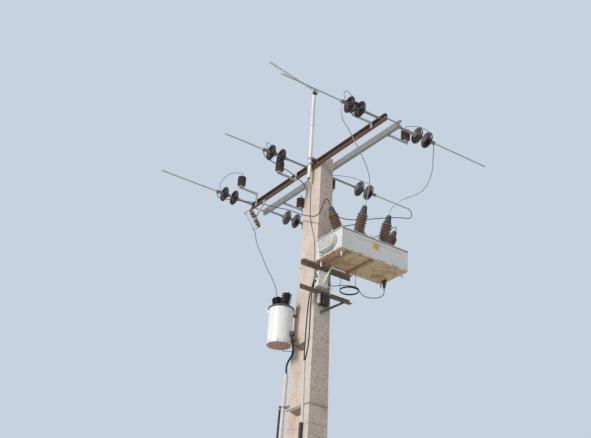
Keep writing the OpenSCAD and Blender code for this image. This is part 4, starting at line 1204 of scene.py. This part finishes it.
CORDS = (
    Cord("jumper_near_left", (
        (-860, -1700, 10109.5), (-860, -1700, 10060), (-864, -1694, 9990), (-820, -1670, 9875),
        (-640, -1600, 9785), (-455, -1500, 9710), (-290, -1415, 9640), (-90, -1300, 9560),
        (90, -1165, 9430), (170, -1035, 9310), (204, -954, 9241), (205, -924, 9160),
    ), 14.0, BRIGHT_STRANDS),
    Cord("jumper_near_right", (
        (860, -1700, 10109.5), (860, -1700, 10050), (870, -1675, 9880), (910, -1610, 9720),
        (945, -1500, 9600), (940, -1370, 9495), (860, -1255, 9420), (750, -1150, 9365),
        (685, -1040, 9300), (666, -954, 9241), (665, -924, 9160),
    ), 14.0, BRIGHT_STRANDS),
    Cord("jumper_middle_left", (
        (-995, 105, 10109.5), (-995, 105, 10070), (-970, 108, 10025), (-860, 120, 10000),
        (-650, 145, 9985), (-450, 175, 9970), (-250, 220, 9940), (-60, 270, 9885),
        (90, 285, 9740), (180, 260, 9530), (310, 130, 9330), (460, -20, 9255),
        (600, -165, 9275), (658, -210, 9262), (665, -223, 9231), (665, -249, 9160),
    ), 14.0, DARK_STRANDS),
    Cord("jumper_middle_right", (
        (1891, 105, 10130), (1925, 105, 10130), (1957, 103, 10100), (1965, 98, 10030),
        (1925, 85, 9960), (1700, 50, 9870), (1440, 0, 9762), (1150, -60, 9620),
        (860, -120, 9475), (600, -175, 9355), (400, -207, 9280), (265, -218, 9262),
        (213, -222, 9245), (205, -228, 9218), (205, -249, 9160),
    ), 14.0, DARK_STRANDS),
    Cord("jumper_far_left", (
        (-860, 1700, 10109.5), (-860, 1700, 10070), (-838, 1680, 10015), (-700, 1570, 9980),
        (-500, 1400, 9950), (-350, 1100, 9830), (-285, 750, 9640), (-250, 400, 9455),
        (-232, 100, 9265), (-232, -150, 9135), (-250, -350, 9060), (-282, -490, 9082),
        (-297, -560, 9150), (-291, -584, 9215), (-253, -588, 9249), (-216, -587, 9216),
        (-185.5, -587, 9146.6),
    ), 14.0, DARK_STRANDS),
    Cord("jumper_far_right", (
        (860, 1700, 10109.5), (860, 1700, 10060), (868, 1670, 9975), (890, 1560, 9860),
        (950, 1200, 9660), (1020, 800, 9480), (1070, 400, 9350), (1105, 0, 9285),
        (1115, -350, 9270), (1106, -520, 9268), (1091, -580, 9227), (1055.6, -587, 9146.6),
    ), 14.0, DULL_STRANDS),
    Cord("fuse_lead", (
        (-299, 1360, 9467), (-283, 1360, 9446.5), (-274, 1345, 9380), (-272, 1280, 9200),
        (-270, 1140, 8980), (-300, 900, 8650), (-345, 640, 8350), (-366, 500, 8170),
        (-372, 448, 8085), (-372, 426, 8003), (-372, 410.2, 7945.2),
    ), 10.0, CABLE_SHEATH, "medium"),
)


@dataclass
class ControlCable:
    """Cable from the plug under the tank, through its spare turns, to the control box.

    Attributes:
        diameter: Its diameter, in millimetres as all its lengths.
        pitch: Rise of one turn.
        turns: Whole turns of the coil.
        coil: Centre of the coil.
        coil_radius: Radius of its centre line.
        enter: Angle in degrees at which the lead meets it.
        leave: Angle at which the tail leaves it.
        lead: Points from the plug to the coil.
        tail: Points from the coil to the control box.
    """

    diameter: float = 12.0
    pitch: float = 12.4
    turns: int = 2
    coil: tuple = (421.0, -320.0, 8044.0)
    coil_radius: float = 142.0
    enter: float = -60.0
    leave: float = -120.0
    lead: tuple = (
        (980, -440, 8209.4), (980, -440, 8150), (968, -436, 8100),
        (925, -410, 8060), (860, -372, 8040), (780, -345, 8030), (700, -343, 8026),
        (635, -361, 8028), (565.5, -400.5, 8030.5),
    )
    tail: tuple = (
        (277.5, -401, 8057.5), (220, -368, 8052), (160, -333, 8036),
        (110, -312, 8028), (68, -301, 8046), (50, -297, 8058), (25.4, -296, 8060),
    )

    def build(self) -> None:
        """Builds the lead, the turns of the coil and the tail as one cord."""
        whole = 360.0 * self.turns + self.enter - self.leave
        steps = 20 * self.turns
        coil = []
        for k in range(steps + 1):
            a = math.radians(self.enter - whole * k / steps)
            x = self.coil[0] + self.coil_radius * math.cos(a)
            y = self.coil[1] + self.coil_radius * math.sin(a)
            coil.append((x, y, self.coil[2] + self.pitch * whole / 360.0 * (k / steps - 0.5)))
        Cord(
            "control_cable", (*self.lead, *coil, *self.tail), self.diameter, CABLE_SHEATH, "medium",
            easing=0, step=self.diameter * MM, slot=CABLE_SHEATH.slot, lay="coiled",
            also=("control_cable_coil",),
        ).build()


# ---- sub-assemblies ----


# Stud, middle and end in millimetres of each wire from an arrester to its string
ARRESTER_LEADS = (
    ((-480, -1490, 10414), (-700, -1595, 10432), (-829, -1700, 10260)),
    ((-480, 430, 10304), (-767, 268, 10377), (-964, 105, 10260)),
    ((-480, 1590, 10544), (-700, 1645, 10497), (-829, 1700, 10260)),
    ((480, -1500, 10334), (700, -1600, 10392), (829, -1700, 10260)),
    ((480, 360, 10314), (862, 233, 10382), (1154, 105, 10260)),
    ((480, 1220, 10324), (700, 1460, 10387), (829, 1700, 10260)),
)

# Centre line in millimetres, diameter and finish of each cable that lies on the pole
POLE_CABLES = (
    (((-145, -258, 8050), (-169, -254, 8046), (-146, -200, 7975), (-147, -167, 7870),
      (-157, -165, 7080), (-160, -108, 6857)), 16.0, CABLE_SHEATH),
    (((-145, -291, 8110), (-171, -287, 8106), (-146, -170, 8000), (-147, -117, 7870),
      (-157, -80, 7105), (-160, -88, 6857)), 16.0, CABLE_SHEATH),
    (((-270, 88, 7259.5), (-270, 88, 7219.7), (-164, 205, 7060), (-188, 301, 6895),
      (-188, 304, 6755.6)), 30.0, CABLE_SHEATH),
    (((-198, 0, 9910), (-198, 5, 9860), (-186, 15, 9825), (-150, 35, 9796), (-125, 44, 9768),
      (-122, 43, 9720), (-123, 39, 9620), (-127.5, 16, 9260), (-129.6, -60, 9000),
      (-133, -146, 8750), (-137.7, -190, 8390), (-140, -205, 8190), (-160, -250, 8157),
      (-145, -266, 8150)), 10.0, FEEDER_SHEATH),
    (((-253, 345, 7135.7), (-253, 345, 7105), (-153, 242, 7085), (-154, 244, 7030)), 8.0,
     FEEDER_SHEATH),
)


@dataclass
class Pole:
    """The recessed concrete pole and what is strapped to it.

    Attributes:
        buckle: Sizes of a band's buckle.
        buckle_x: Its place across the face.
        band_size: Smallest sizes along X and Y of a band that goes round the pole.
    """

    buckle: tuple = (0.05, 0.012, 0.028)
    buckle_x: float = 0.06
    band_size: tuple = (0.2, 0.3)

    def build(self) -> None:
        """Dresses the pole, its bands and conduits, and lays the cables on it."""
        dress(CONCRETE, "pole")
        dress(ZINC, "pole_bands")
        dress(CONDUIT, "pale_conduits")
        dress(BLACK_CONDUIT, "black_conduits")
        for number, (route, diameter, finish) in enumerate(POLE_CABLES, 1):
            form = Form().tube(smooth_line(route, diameter * MM), diameter * MM / 2, 14)
            nodes = ("pole_cables",) if number == 1 else ()
            form.piece("pole_cable_%d" % number, finish, nodes, "cable_black", BENDS)
        form = Form()
        for band in solids_of("pole_bands", UP):
            if (np.ptp(band.points[:, :2], axis=0) >= self.band_size).all():
                front = float(band.points[:, 1].min()) - self.buckle[1] / 2
                form.slab(self.buckle, (self.buckle_x, front, float(band.points[:, 2].mean())))
        form.piece("band_buckles", ZINC)


@dataclass
class Crossarms:
    """The two channels, their bolts, the arresters and the bars that carry them.

    Attributes:
        sheds: Sheds of an arrester.
        core: Radius of its body between the sheds.
        body_start: Height of the body above its foot.
        body_length: Length of the body.
        cap_radius: Radius of its two caps.
        height: Height of the upper cap's top.
        stud_radius: Radius of the stud on it.
        lead_radius: Radius of its lead.
    """

    sheds: int = 5
    core: float = 0.040
    body_start: float = 0.012
    body_length: float = 0.166
    cap_radius: float = 0.034
    height: float = 0.19
    stud_radius: float = 0.007
    lead_radius: float = 0.0045

    def build(self) -> None:
        """Dresses the channels and builds the arresters and their leads."""
        dress(RUSTY_STEEL, "rusty_crossarm")
        dress(ZINC, "galvanised_crossarm", "crossarm_bolts")
        dress(LOOSE_ZINC, "arrester_brackets")
        for number, (stud, middle, (x, y, z)) in enumerate(ARRESTER_LEADS, 1):
            rise, inner = (*stud[:2], stud[2] + 24), x - math.copysign(30, x)
            route = (stud, rise, middle, (x, y, z), (inner, y, z - 70), (inner, y, z - 110))
            form = Form().tube(smooth_line(route, 0.012), self.lead_radius)
            nodes = ("arrester_leads",) if number == 1 else ()
            form.piece("arrester_lead_%d" % number, DULL_STRANDS, nodes, sharp=BENDS)
        for side in ("left", "right"):
            self.arresters("surge_arresters_" + side)

    def arresters(self, node: str) -> None:
        """Builds the arresters of one side.

        Args:
            node: Name of the CAD node.
        """
        solids = solids_of(node, UP)
        r, top, stud, tip = self.cap_radius, self.height, self.stud_radius, solids[0].length
        foot = [(0, 0), (r, 0), (r, 0.014), (r - 0.004, 0.018), (0, 0.018)]
        head = [
            (0, top - 0.018), (r - 0.004, top - 0.018), (r, top - 0.013), (r, top - 0.002),
            (r - 0.003, top), (0.016, top), (0.016, top + 0.008), (stud, top + 0.008),
            (stud, tip), (0, tip),
        ]
        sizes = shed_sizes(self.body_length, self.core, solids[0].radius, self.sheds, 36)
        tree, sheds, caps = rib_tree(SHED_RUBBER), Form(), Form()
        for solid in solids:
            sheds.grow(tree, sizes, raised(solid.place, self.body_start))
            caps.turn(foot, solid.place).turn(head, solid.place, 24)
        sheds.piece(node + "_sheds", SHED_RUBBER, (node,), sharp=SHEDS)
        caps.piece(node + "_caps", ZINC)


@dataclass
class Mast:
    """Mast on the pole's head with its antenna.

    Attributes:
        screw: Half the width of an element's screw.
        screw_depth: How far the screw's foot stands off the element's middle.
    """

    screw: float = 0.004
    screw_depth: float = 0.005

    def build(self) -> None:
        """Dresses the mast and the antenna, and screws each element to the boom."""
        dress(MAST_PAINT, "mast_tube")
        dress(ZINC, "mast_clamps")
        dress(ALUMINIUM, "antenna_boom", "antenna_elements")
        dress(BOOT_RUBBER, "antenna_clamp")
        out = Vector((0, -self.screw_depth, 0))
        spots = [Vector(rod.points.mean(0)) + out for rod in solids_of("antenna_elements", UP)]
        bolts("element_screws", ZINC, spots, FRONT, self.screw)


@dataclass
class Strings:
    """Six strings of two disc insulators, with their links, clevises and wire grips.

    Attributes:
        wires: Wires of a grip.
        lay: Length in which a wire goes once round.
        wire: Radius of a wire.
        core: Radius of the conductor in it.
        bare: Length of the grip's end without wires.
    """

    wires: int = 7
    lay: float = 0.11
    wire: float = 0.0026
    core: float = 0.0052
    bare: float = 0.03

    def build(self) -> None:
        """Builds the discs and the grips, and dresses the links and caps."""
        dress(ZINC, "strain_links", "strain_caps")
        for side, way in (("left", -1), ("right", 1)):
            out = Vector((way, 0, 0))
            self.discs("strain_discs_" + side, out)
            self.grips("wire_grips_" + side, out)

    def profile(self, rim: float, length: float) -> Profile:
        """Outline of a disc: bell, rolled lip and the ribs below it.

        Args:
            rim: Radius of the disc.
            length: Its height.

        Returns:
            Radius and height of each row.
        """
        outline = [
            (0.040, 0.0), (0.046, 0.0005), (0.062, 0.006), (0.085, 0.0125), (rim - 0.014, 0.021),
            (rim - 0.004, 0.027), (rim, 0.034), (rim - 0.001, 0.042), (rim - 0.005, 0.0455),
            (rim - 0.011, 0.044), (rim - 0.016, 0.037), (rim - 0.024, 0.031), (rim - 0.030, 0.034),
            (rim - 0.034, length - 0.003), (rim - 0.038, length), (rim - 0.042, length - 0.003),
            (rim - 0.048, 0.030), (0.056, 0.026), (0.050, 0.030), (0.044, 0.043), (0.038, 0.045),
            (0.031, 0.040), (0.028, 0.022),
        ]
        soft = smooth_line([(r, 0, z) for r, z in outline], 0.004, 1.0)
        return [(0.0, 0.0), *[(p.x, p.z) for p in soft], (0.0, 0.022)]

    def discs(self, node: str, out: Vector) -> None:
        """Builds the discs of one side.

        Args:
            node: Name of the CAD node.
            out: Direction away from the pole.
        """
        form = Form()
        for solid in solids_of(node, out):
            form.turn(self.profile(solid.radius, solid.length), solid.place, 48)
        form.piece(node + "_glazed", DISC_GLAZE, (node,), sharp=60.0)

    def grips(self, node: str, out: Vector) -> None:
        """Builds the laid wires of one side's grips, each round its conductor.

        Args:
            node: Name of the CAD node.
            out: Direction away from the pole.
        """
        tree, wires, cores, r = wire_tree(GRIP_WIRE), Form(), Form(), self.core
        sleeve = [(0, 0), (0.0145, 0), (0.0153, 0.004), (0.0153, 0.05), (0.011, 0.06), (0, 0.06)]
        for solid in solids_of(node, out):
            n = solid.length
            sizes = {
                "Length": n - self.bare, "Radius": r + self.wire, "Wire": self.wire,
                "Turns": (n - self.bare) / self.lay, "Wires": self.wires,
            }
            wires.grow(tree, sizes, raised(solid.place, 0.012))
            cores.turn([(0, 0.002), (r, 0.002), (r, n), (0, n)], solid.place, 16)
            cores.turn(sleeve, solid.place, 24)
        wires.piece(node + "_wires", GRIP_WIRE, (node,), sharp=SHEDS)
        cores.piece(node + "_cores", ALUMINIUM)


@dataclass
class CutOut:
    """Fuse cut-out at the far end of the rusty crossarm.

    Attributes:
        end: Length of the insulator's plain ends.
        core: Radius of its stem.
        ferrule: Length of the fuse tube's metal ends.
    """

    end: float = 0.03
    core: float = 0.028
    ferrule: float = 0.034

    def build(self) -> None:
        """Builds the insulator and the fuse tube, and dresses the bracket."""
        dress(LOOSE_ZINC, "cutout_bracket")
        body, tube = (
            solids_of(node, Vector((-0.6, 0, 0.8)), fitted=True)[0]
            for node in ("cutout_insulator", "cutout_fuse_tube")
        )
        pitch = (body.length - 2 * self.end) / 5
        sizes = shed_sizes(2 * pitch, self.core, body.radius, 2, 36)
        tree, sheds = rib_tree(BROWN_GLAZE), Form()
        for k in (0, 3):
            sheds.grow(tree, sizes, raised(body.place, self.end + k * pitch))
        sheds.piece("cutout_insulator_sheds", BROWN_GLAZE, ("cutout_insulator",), sharp=SHEDS)
        r, n = self.core, body.length
        stem = [(0, 0), (r - 0.002, 0), (r, 0.003), (r, n - 0.003), (r - 0.002, n), (0, n)]
        Form().turn(stem, body.place).piece("cutout_insulator_stem", BROWN_GLAZE)
        r, n = tube.radius, tube.length
        fibre = Form().turn([(0, 0), (r - 0.001, 0), (r - 0.001, n), (0, n)], tube.place, 24)
        fibre.piece("fuse_tube_fibre", FIBRE, ("cutout_fuse_tube",))
        ends, top = Form(), self.ferrule
        cap = [(0, 0), (r - 0.002, 0), (r, 0.002), (r, top - 0.002), (r - 0.002, top), (0, top)]
        for z in (0.0, n - top):
            ends.turn(cap, raised(tube.place, z), 24)
        ends.piece("fuse_tube_ferrules", ALUMINIUM)


@dataclass
class Switch:
    """The switch: tank, lid, oval cover, bushings and what hangs below.

    Attributes:
        sheds: Sheds of a bushing.
        core: Radius of its porcelain between them.
        turret_ring: Radius and height of the bolts on its turret, from the porcelain's foot.
        bolt: Half the width of a lid bolt.
        lid_bolt_pitch: Distance from one to the next.
        lid_inset: Distance from the lid's edge to them.
        lid_deck: Height of the lid's rim above the tank.
        plate: Sizes of the yellow plate.
        plate_place: Its place on the long side, from the tank's low corner.
        flange: How far the tank's foot stands out of its near side.
        cover_height: Height of the oval cover.
        cover_bolts: How many bolts it has.
        lip_inset: Distance from its edge to the rolled lip.
        lip_width: Width of the lip.
        lip_height: Height of the lip.
        gasket_height: Height of the lid's gasket.
        gasket_proud: How far the gasket stands out.
    """

    sheds: int = 9
    core: float = 0.061
    turret_ring: tuple = (0.071, -0.0145)
    bolt: float = 0.009
    lid_bolt_pitch: float = 0.155
    lid_inset: float = 0.018
    lid_deck: float = 0.012
    plate: tuple = (0.098, 0.0035, 0.084)
    plate_place: tuple = (0.62, 0.215)
    flange: float = 0.006
    cover_height: float = 0.235
    cover_bolts: int = 18
    lip_inset: float = 0.024
    lip_width: float = 0.02
    lip_height: float = 0.007
    gasket_height: float = 0.009
    gasket_proud: float = 0.003

    def build(self) -> None:
        """Builds the bushings and the fittings, and dresses the rest."""
        dress(SWITCH_PAINT, "switch_tank", "switch_lid")
        dress(LOOSE_PAINT, "switch_end_cover", "switch_feet", "bushing_turrets")
        dress(UNDERPLATE, "switch_underplate")
        self.bushings()
        self.lid_bolts()
        self.rim_bolts()
        self.tank_fittings()
        self.cover_face()

    def bushings(self) -> None:
        """Builds the ribbed porcelain, the boots with their rings, and the lugs on top."""
        tree, porcelain, rubber, metal = rib_tree(BROWN_GLAZE), Form(), Form(), Form()
        spots, ways = [], []
        for body in solids_of("bushing_porcelain", UP, fitted=True):
            sizes = shed_sizes(body.length, self.core, body.radius, self.sheds, 40)
            porcelain.grow(tree, sizes, body.place)
            for spot in ring(*self.turret_ring, 6, 0.5):
                spots.append(body.place @ spot)
                ways.append(body.axis)
        for boot in solids_of("bushing_boots", UP, fitted=True):
            n = boot.length
            sleeve = [
                (0, 0), (0.058, 0.0), (0.061, 0.004), (0.062, 0.012), (0.057, 0.021),
                (0.052, 0.029), (0.052, 0.038), (0.048, 0.044), (0.046, 0.062), (0.047, 0.068),
                (0.043, 0.074), (0.041, 0.090), (0.042, 0.096), (0.038, 0.102),
                (0.035, n - 0.020), (0.030, n - 0.013), (0.022, n - 0.012), (0, n - 0.012),
            ]
            lug = [
                (0, n - 0.012), (0.017, n - 0.012), (0.019, n - 0.009), (0.019, n - 0.002),
                (0.016, n), (0, n),
            ]
            rubber.turn(sleeve, boot.place, 36)
            metal.turn(lug, boot.place, 24)
        nodes = ("bushing_porcelain",)
        porcelain.piece("bushing_porcelain_glazed", BROWN_GLAZE, nodes, sharp=SHEDS)
        rubber.piece("bushing_boots_ringed", BOOT_RUBBER, ("bushing_boots",))
        metal.piece("bushing_lugs", ALUMINIUM)
        bolts("turret_bolts", LOOSE_PAINT, spots, ways, 0.006)

    def lid_bolts(self) -> None:
        """Adds the bolts along the lid's edge, on top."""
        low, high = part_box("switch_lid")
        z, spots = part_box("switch_tank")[1].z + self.lid_deck, []
        for along, across in ((0, 1), (1, 0)):
            count = round((high[along] - low[along]) / self.lid_bolt_pitch)
            for fixed in (low[across] + self.lid_inset, high[across] - self.lid_inset):
                for k in range(count):
                    spot = Vector((0, 0, z))
                    spot[across] = fixed
                    spot[along] = low[along] + (high[along] - low[along]) * (k + 0.5) / count
                    spots.append(spot)
        bolts("lid_bolts", LOOSE_PAINT, spots, UP, self.bolt)

    def oval(self) -> tuple[Vector, Vector, float]:
        """Middle of the oval cover's front and of its back, and half its straight sides."""
        low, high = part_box("switch_end_cover")
        reach = self.cover_height / 2
        y, z = (low.y + high.y) / 2, high.z - reach
        return Vector((low.x, y, z)), Vector((high.x, y, z)), (high.y - low.y) / 2 - reach

    def rim_bolts(self) -> None:
        """Adds the bolts on the rim of the oval cover."""
        _, back, straight = self.oval()
        dots = ring(self.cover_height / 2 - 0.011, 0, self.cover_bolts, 0.5, straight)
        spots = [back + Vector((-0.014, dot.x, dot.y)) for dot in dots]
        bolts("cover_bolts", ZINC, spots, Vector((-1, 0, 0)), 0.007)

    def tank_fittings(self) -> None:
        """Adds the plain yellow plate, and the gasket that shows dark under the lid."""
        low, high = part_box("switch_tank")
        near, far, (x, z) = low.y + self.flange, high.y, self.plate_place
        middle = (low.x + x, near - self.plate[1] / 2, low.z + z)
        Form().slab(self.plate, middle, 0.0012).piece("plain_yellow_plate", PLATE_YELLOW)
        z, deep, tall = high.z - self.gasket_height / 2, 2 * self.gasket_proud, self.gasket_height
        form = Form()
        for y in (near, far):
            form.slab((high.x - low.x - 0.02, deep, tall), ((low.x + high.x) / 2, y, z), 0.0008)
        for x in (low.x, high.x):
            form.slab((deep, far - near - 0.02, tall), (x, (near + far) / 2, z), 0.0008)
        form.piece("lid_gasket", CABLE_SHEATH)

    def cover_face(self) -> None:
        """Adds the rolled lip on the oval cover, the panel in it and the seal behind it."""
        front, back, straight = self.oval()
        outward = Matrix(((0, 0, -1), (1, 0, 0), (0, -1, 0))).to_4x4()
        reach, t = self.cover_height / 2, self.lip_height
        r = reach - self.lip_inset
        n = r - self.lip_width
        lip = [(r, 0), (r, t - 0.002), (r - 0.002, t), (n + 0.002, t), (n, t - 0.002), (n, 0)]
        panel = [(n, 0), (n, 0.001), (n - 0.006, 0.002)]
        seal = [(reach + 0.003, 0), (reach + 0.003, 0.003), (reach, 0.004)]
        for name, finish, rows, foot in (
            ("end_cover_lip", LOOSE_PAINT, lip, front),
            ("end_cover_panel", PANEL_PAINT, panel, front),
            ("end_cover_seal", CABLE_SHEATH, seal, back),
        ):
            place = Matrix.Translation(foot) @ outward
            Form().turn(rows, place, 56, straight, closed=rows is lip).piece(name, finish)


@dataclass
class ControlGear:
    """What stands between the brackets below the switch.

    Attributes:
        flange: How far the control box's rim stands out of its sides.
        glands: Foot, direction and cable radius of the glands; None is the box's side.
        post_core: Radius of the post insulator between its sheds.
    """

    flange: float = 0.006
    glands: tuple = (
        ((None, -0.258, 8.05), (-1, 0, 0), 0.008), ((None, -0.291, 8.11), (-1, 0, 0), 0.008),
        ((None, -0.266, 8.15), (-1, 0, 0), 0.005), ((None, -0.296, 8.06), (1, 0, 0), 0.006),
        ((-0.270, 0.088, 7.26), (0, 0, -1), 0.015),
    )
    post_core: float = 0.019

    def build(self) -> None:
        """Dresses the brackets, the boxes and the rods, and builds what they carry."""
        dress(RUSTY_ZINC, "switch_support")
        dress(WORN_ANGLE, "lower_bracket", "bracket_brace")
        dress(LOOSE_PAINT, "control_box")
        dress(FIBRE, "operating_rods")
        dress(BLACK_CONDUIT, "cable_joint_box")
        dress(BOOT_RUBBER, "control_plug")
        self.control_box()
        self.joint_lid()
        post = solids_of("post_insulator", UP)[0]
        sizes = shed_sizes(post.length, self.post_core, post.radius, 4, 30)
        form = Form().grow(rib_tree(FIBRE), sizes, post.place)
        form.piece("post_insulator_fibre", FIBRE, ("post_insulator",), sharp=SHEDS)

    def control_box(self) -> None:
        """Adds the door of the control box, its hinges, its latch and the cable glands."""
        low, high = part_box("control_box")
        left, right, front = low.x + self.flange, high.x - self.flange, low.y + 0.004
        size = (right - left - 0.022, 0.004, high.z - low.z - 0.036)
        middle = ((left + right) / 2, front - 0.002, low.z + size[2] / 2 + 0.010)
        Form().slab(size, middle).piece("control_box_door", LOOSE_PAINT)
        metal, hinge = Form(), [(0, 0), (0.004, 0), (0.004, 0.026), (0, 0.026)]
        for z in (low.z + 0.045, high.z - 0.065):
            metal.turn(hinge, Matrix.Translation((left + 0.008, front - 0.004, z)), 14)
        latch = standing(Vector((right - 0.024, front - 0.004, low.z + 0.1)), FRONT)
        metal.turn([(0, 0), (0.009, 0), (0.009, 0.005), (0.006, 0.007), (0, 0.007)], latch, 20)
        metal.piece("control_box_hardware", ZINC)
        glands = Form()
        for (x, y, z), out, r in self.glands:
            side = left if out[0] < 0 else right
            place = standing(Vector((side if x is None else x, y, z)), Vector(out))
            nut = [(0, 0), (r + 0.008, 0), (r + 0.008, 0.007), (0, 0.007)]
            cone = [
                (0, 0.006), (r + 0.005, 0.006), (r + 0.005, 0.013), (r + 0.001, 0.018), (0, 0.018),
            ]
            glands.turn(nut, place, 6).turn(cone, place, 20)
        glands.piece("cable_glands", BLACK_CONDUIT)

    def joint_lid(self) -> None:
        """Adds the lid of the joint box and its screws."""
        low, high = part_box("cable_joint_box")
        size = (high.x - low.x - 0.008, 0.006, high.z - low.z - 0.008)
        centre, inset = (low + high) / 2, 0.015
        form = Form().slab(size, (centre.x, low.y - 0.003, centre.z), 0.002)
        form.piece("joint_box_lid", BLACK_CONDUIT)
        spots = [
            Vector((x, low.y - 0.006, z))
            for x in (low.x + inset, high.x - inset)
            for z in (low.z + inset, high.z - inset)
        ]
        bolts("joint_box_screws", ZINC, spots, FRONT, 0.0045)


@dataclass
class Transformer:
    """The small can transformer on the pole's other side.

    Attributes:
        sheds: Sheds of a bushing.
        shed_pitch: Distance from one to the next.
        first_shed: Height of the first above the lid.
        core: Radius of the porcelain between them.
        shed: Radius of a shed.
        lean: Lean of a bushing in degrees.
        apart: Distance of its foot from the middle of the lid.
        tip: Height of its cap's top.
        lid_bolts: How many bolts hold the lid.
    """

    sheds: int = 6
    shed_pitch: float = 0.03
    first_shed: float = 0.0175
    core: float = 0.047
    shed: float = 0.078
    lean: float = 15.0
    apart: float = 0.085
    tip: float = 0.232
    lid_bolts: int = 10

    def build(self) -> None:
        """Builds the bushings and the can's fittings, and dresses the rest."""
        dress(CAN_PAINT, "transformer_tank")
        dress(LID_STEEL, "transformer_lid")
        dress(RUSTY_ZINC, "transformer_hanger")
        dress(BLACK_CONDUIT, "transformer_terminals")
        low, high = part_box("transformer_lid")
        centre = (low + high) / 2
        self.bushings(Vector((centre.x, centre.y, high.z)))
        foot = Matrix.Translation((centre.x, centre.y, low.z + 0.0145))
        dots = ring((high.y - low.y) / 2 - 0.012, 0, self.lid_bolts)
        bolts("can_lid_bolts", LID_STEEL, [foot @ dot for dot in dots], UP, 0.007)
        self.hoops(centre)

    def bushings(self, middle: Vector) -> None:
        """Builds the two leaning bushings.

        Args:
            middle: Middle of the lid's top.
        """
        sizes = shed_sizes(self.sheds * self.shed_pitch, self.core, self.shed, self.sheds, 40)
        r, top = self.core - 0.002, self.tip
        core = [(0, -0.012), (r, -0.012), (r, 0.199), (r - 0.006, 0.206), (0, 0.206)]
        cap = [
            (0, 0.2), (0.03, 0.2), (0.03, 0.213), (0.024, 0.218), (0.024, top - 0.004),
            (0.021, top), (0, top),
        ]
        tree, sheds, cores, caps = rib_tree(BLACK_GLAZE), Form(), Form(), Form()
        for side in (-1, 1):
            lean = math.radians(self.lean) * side
            foot = middle + Vector((0, side * self.apart, 0))
            place = standing(foot, Vector((0, math.sin(lean), math.cos(lean))))
            sheds.grow(tree, sizes, raised(place, self.first_shed))
            cores.turn(core, place)
            caps.turn(cap, place, 28)
        nodes = ("transformer_bushings",)
        sheds.piece("transformer_bushings_glazed", BLACK_GLAZE, nodes, sharp=SHEDS)
        cores.piece("transformer_bushing_cores", BLACK_GLAZE)
        caps.piece("transformer_bushing_caps", ALUMINIUM)

    def hoops(self, centre: Vector) -> None:
        """Adds the rolled hoops round the can.

        Args:
            centre: A point on the can's axis.
        """
        low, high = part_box("transformer_tank")
        radius, form = (high.y - low.y) / 2, Form()
        bulge = [
            (radius - 0.001 + 0.003 * math.sin(math.pi * k / 6), 0.007 * k / 6 - 0.0035)
            for k in range(7)
        ]
        rows = [(radius - 0.004, -0.0035), *bulge, (radius - 0.004, 0.0035)]
        for z in (low.z + 0.045, high.z - 0.05):
            form.turn(rows, Matrix.Translation((centre.x, centre.y, z)), 72)
        form.piece("can_hoops", CAN_PAINT)


def main() -> None:
    """Builds the camera, the cords, the light and each sub-assembly."""
    logging.basicConfig(level=logging.INFO, format="%(name)s: %(message)s")
    bpy.context.scene.view_settings.view_transform = "Standard"
    set_camera()
    for cord in CORDS:
        cord.build()
    ControlCable().build()
    set_light()
    set_floor()
    for part in (Pole, Crossarms, Mast, Strings, CutOut, Switch, ControlGear, Transformer):
        LOG.info("building %s", part.__name__)
        part().build()


if __name__ == "__main__":
    main()
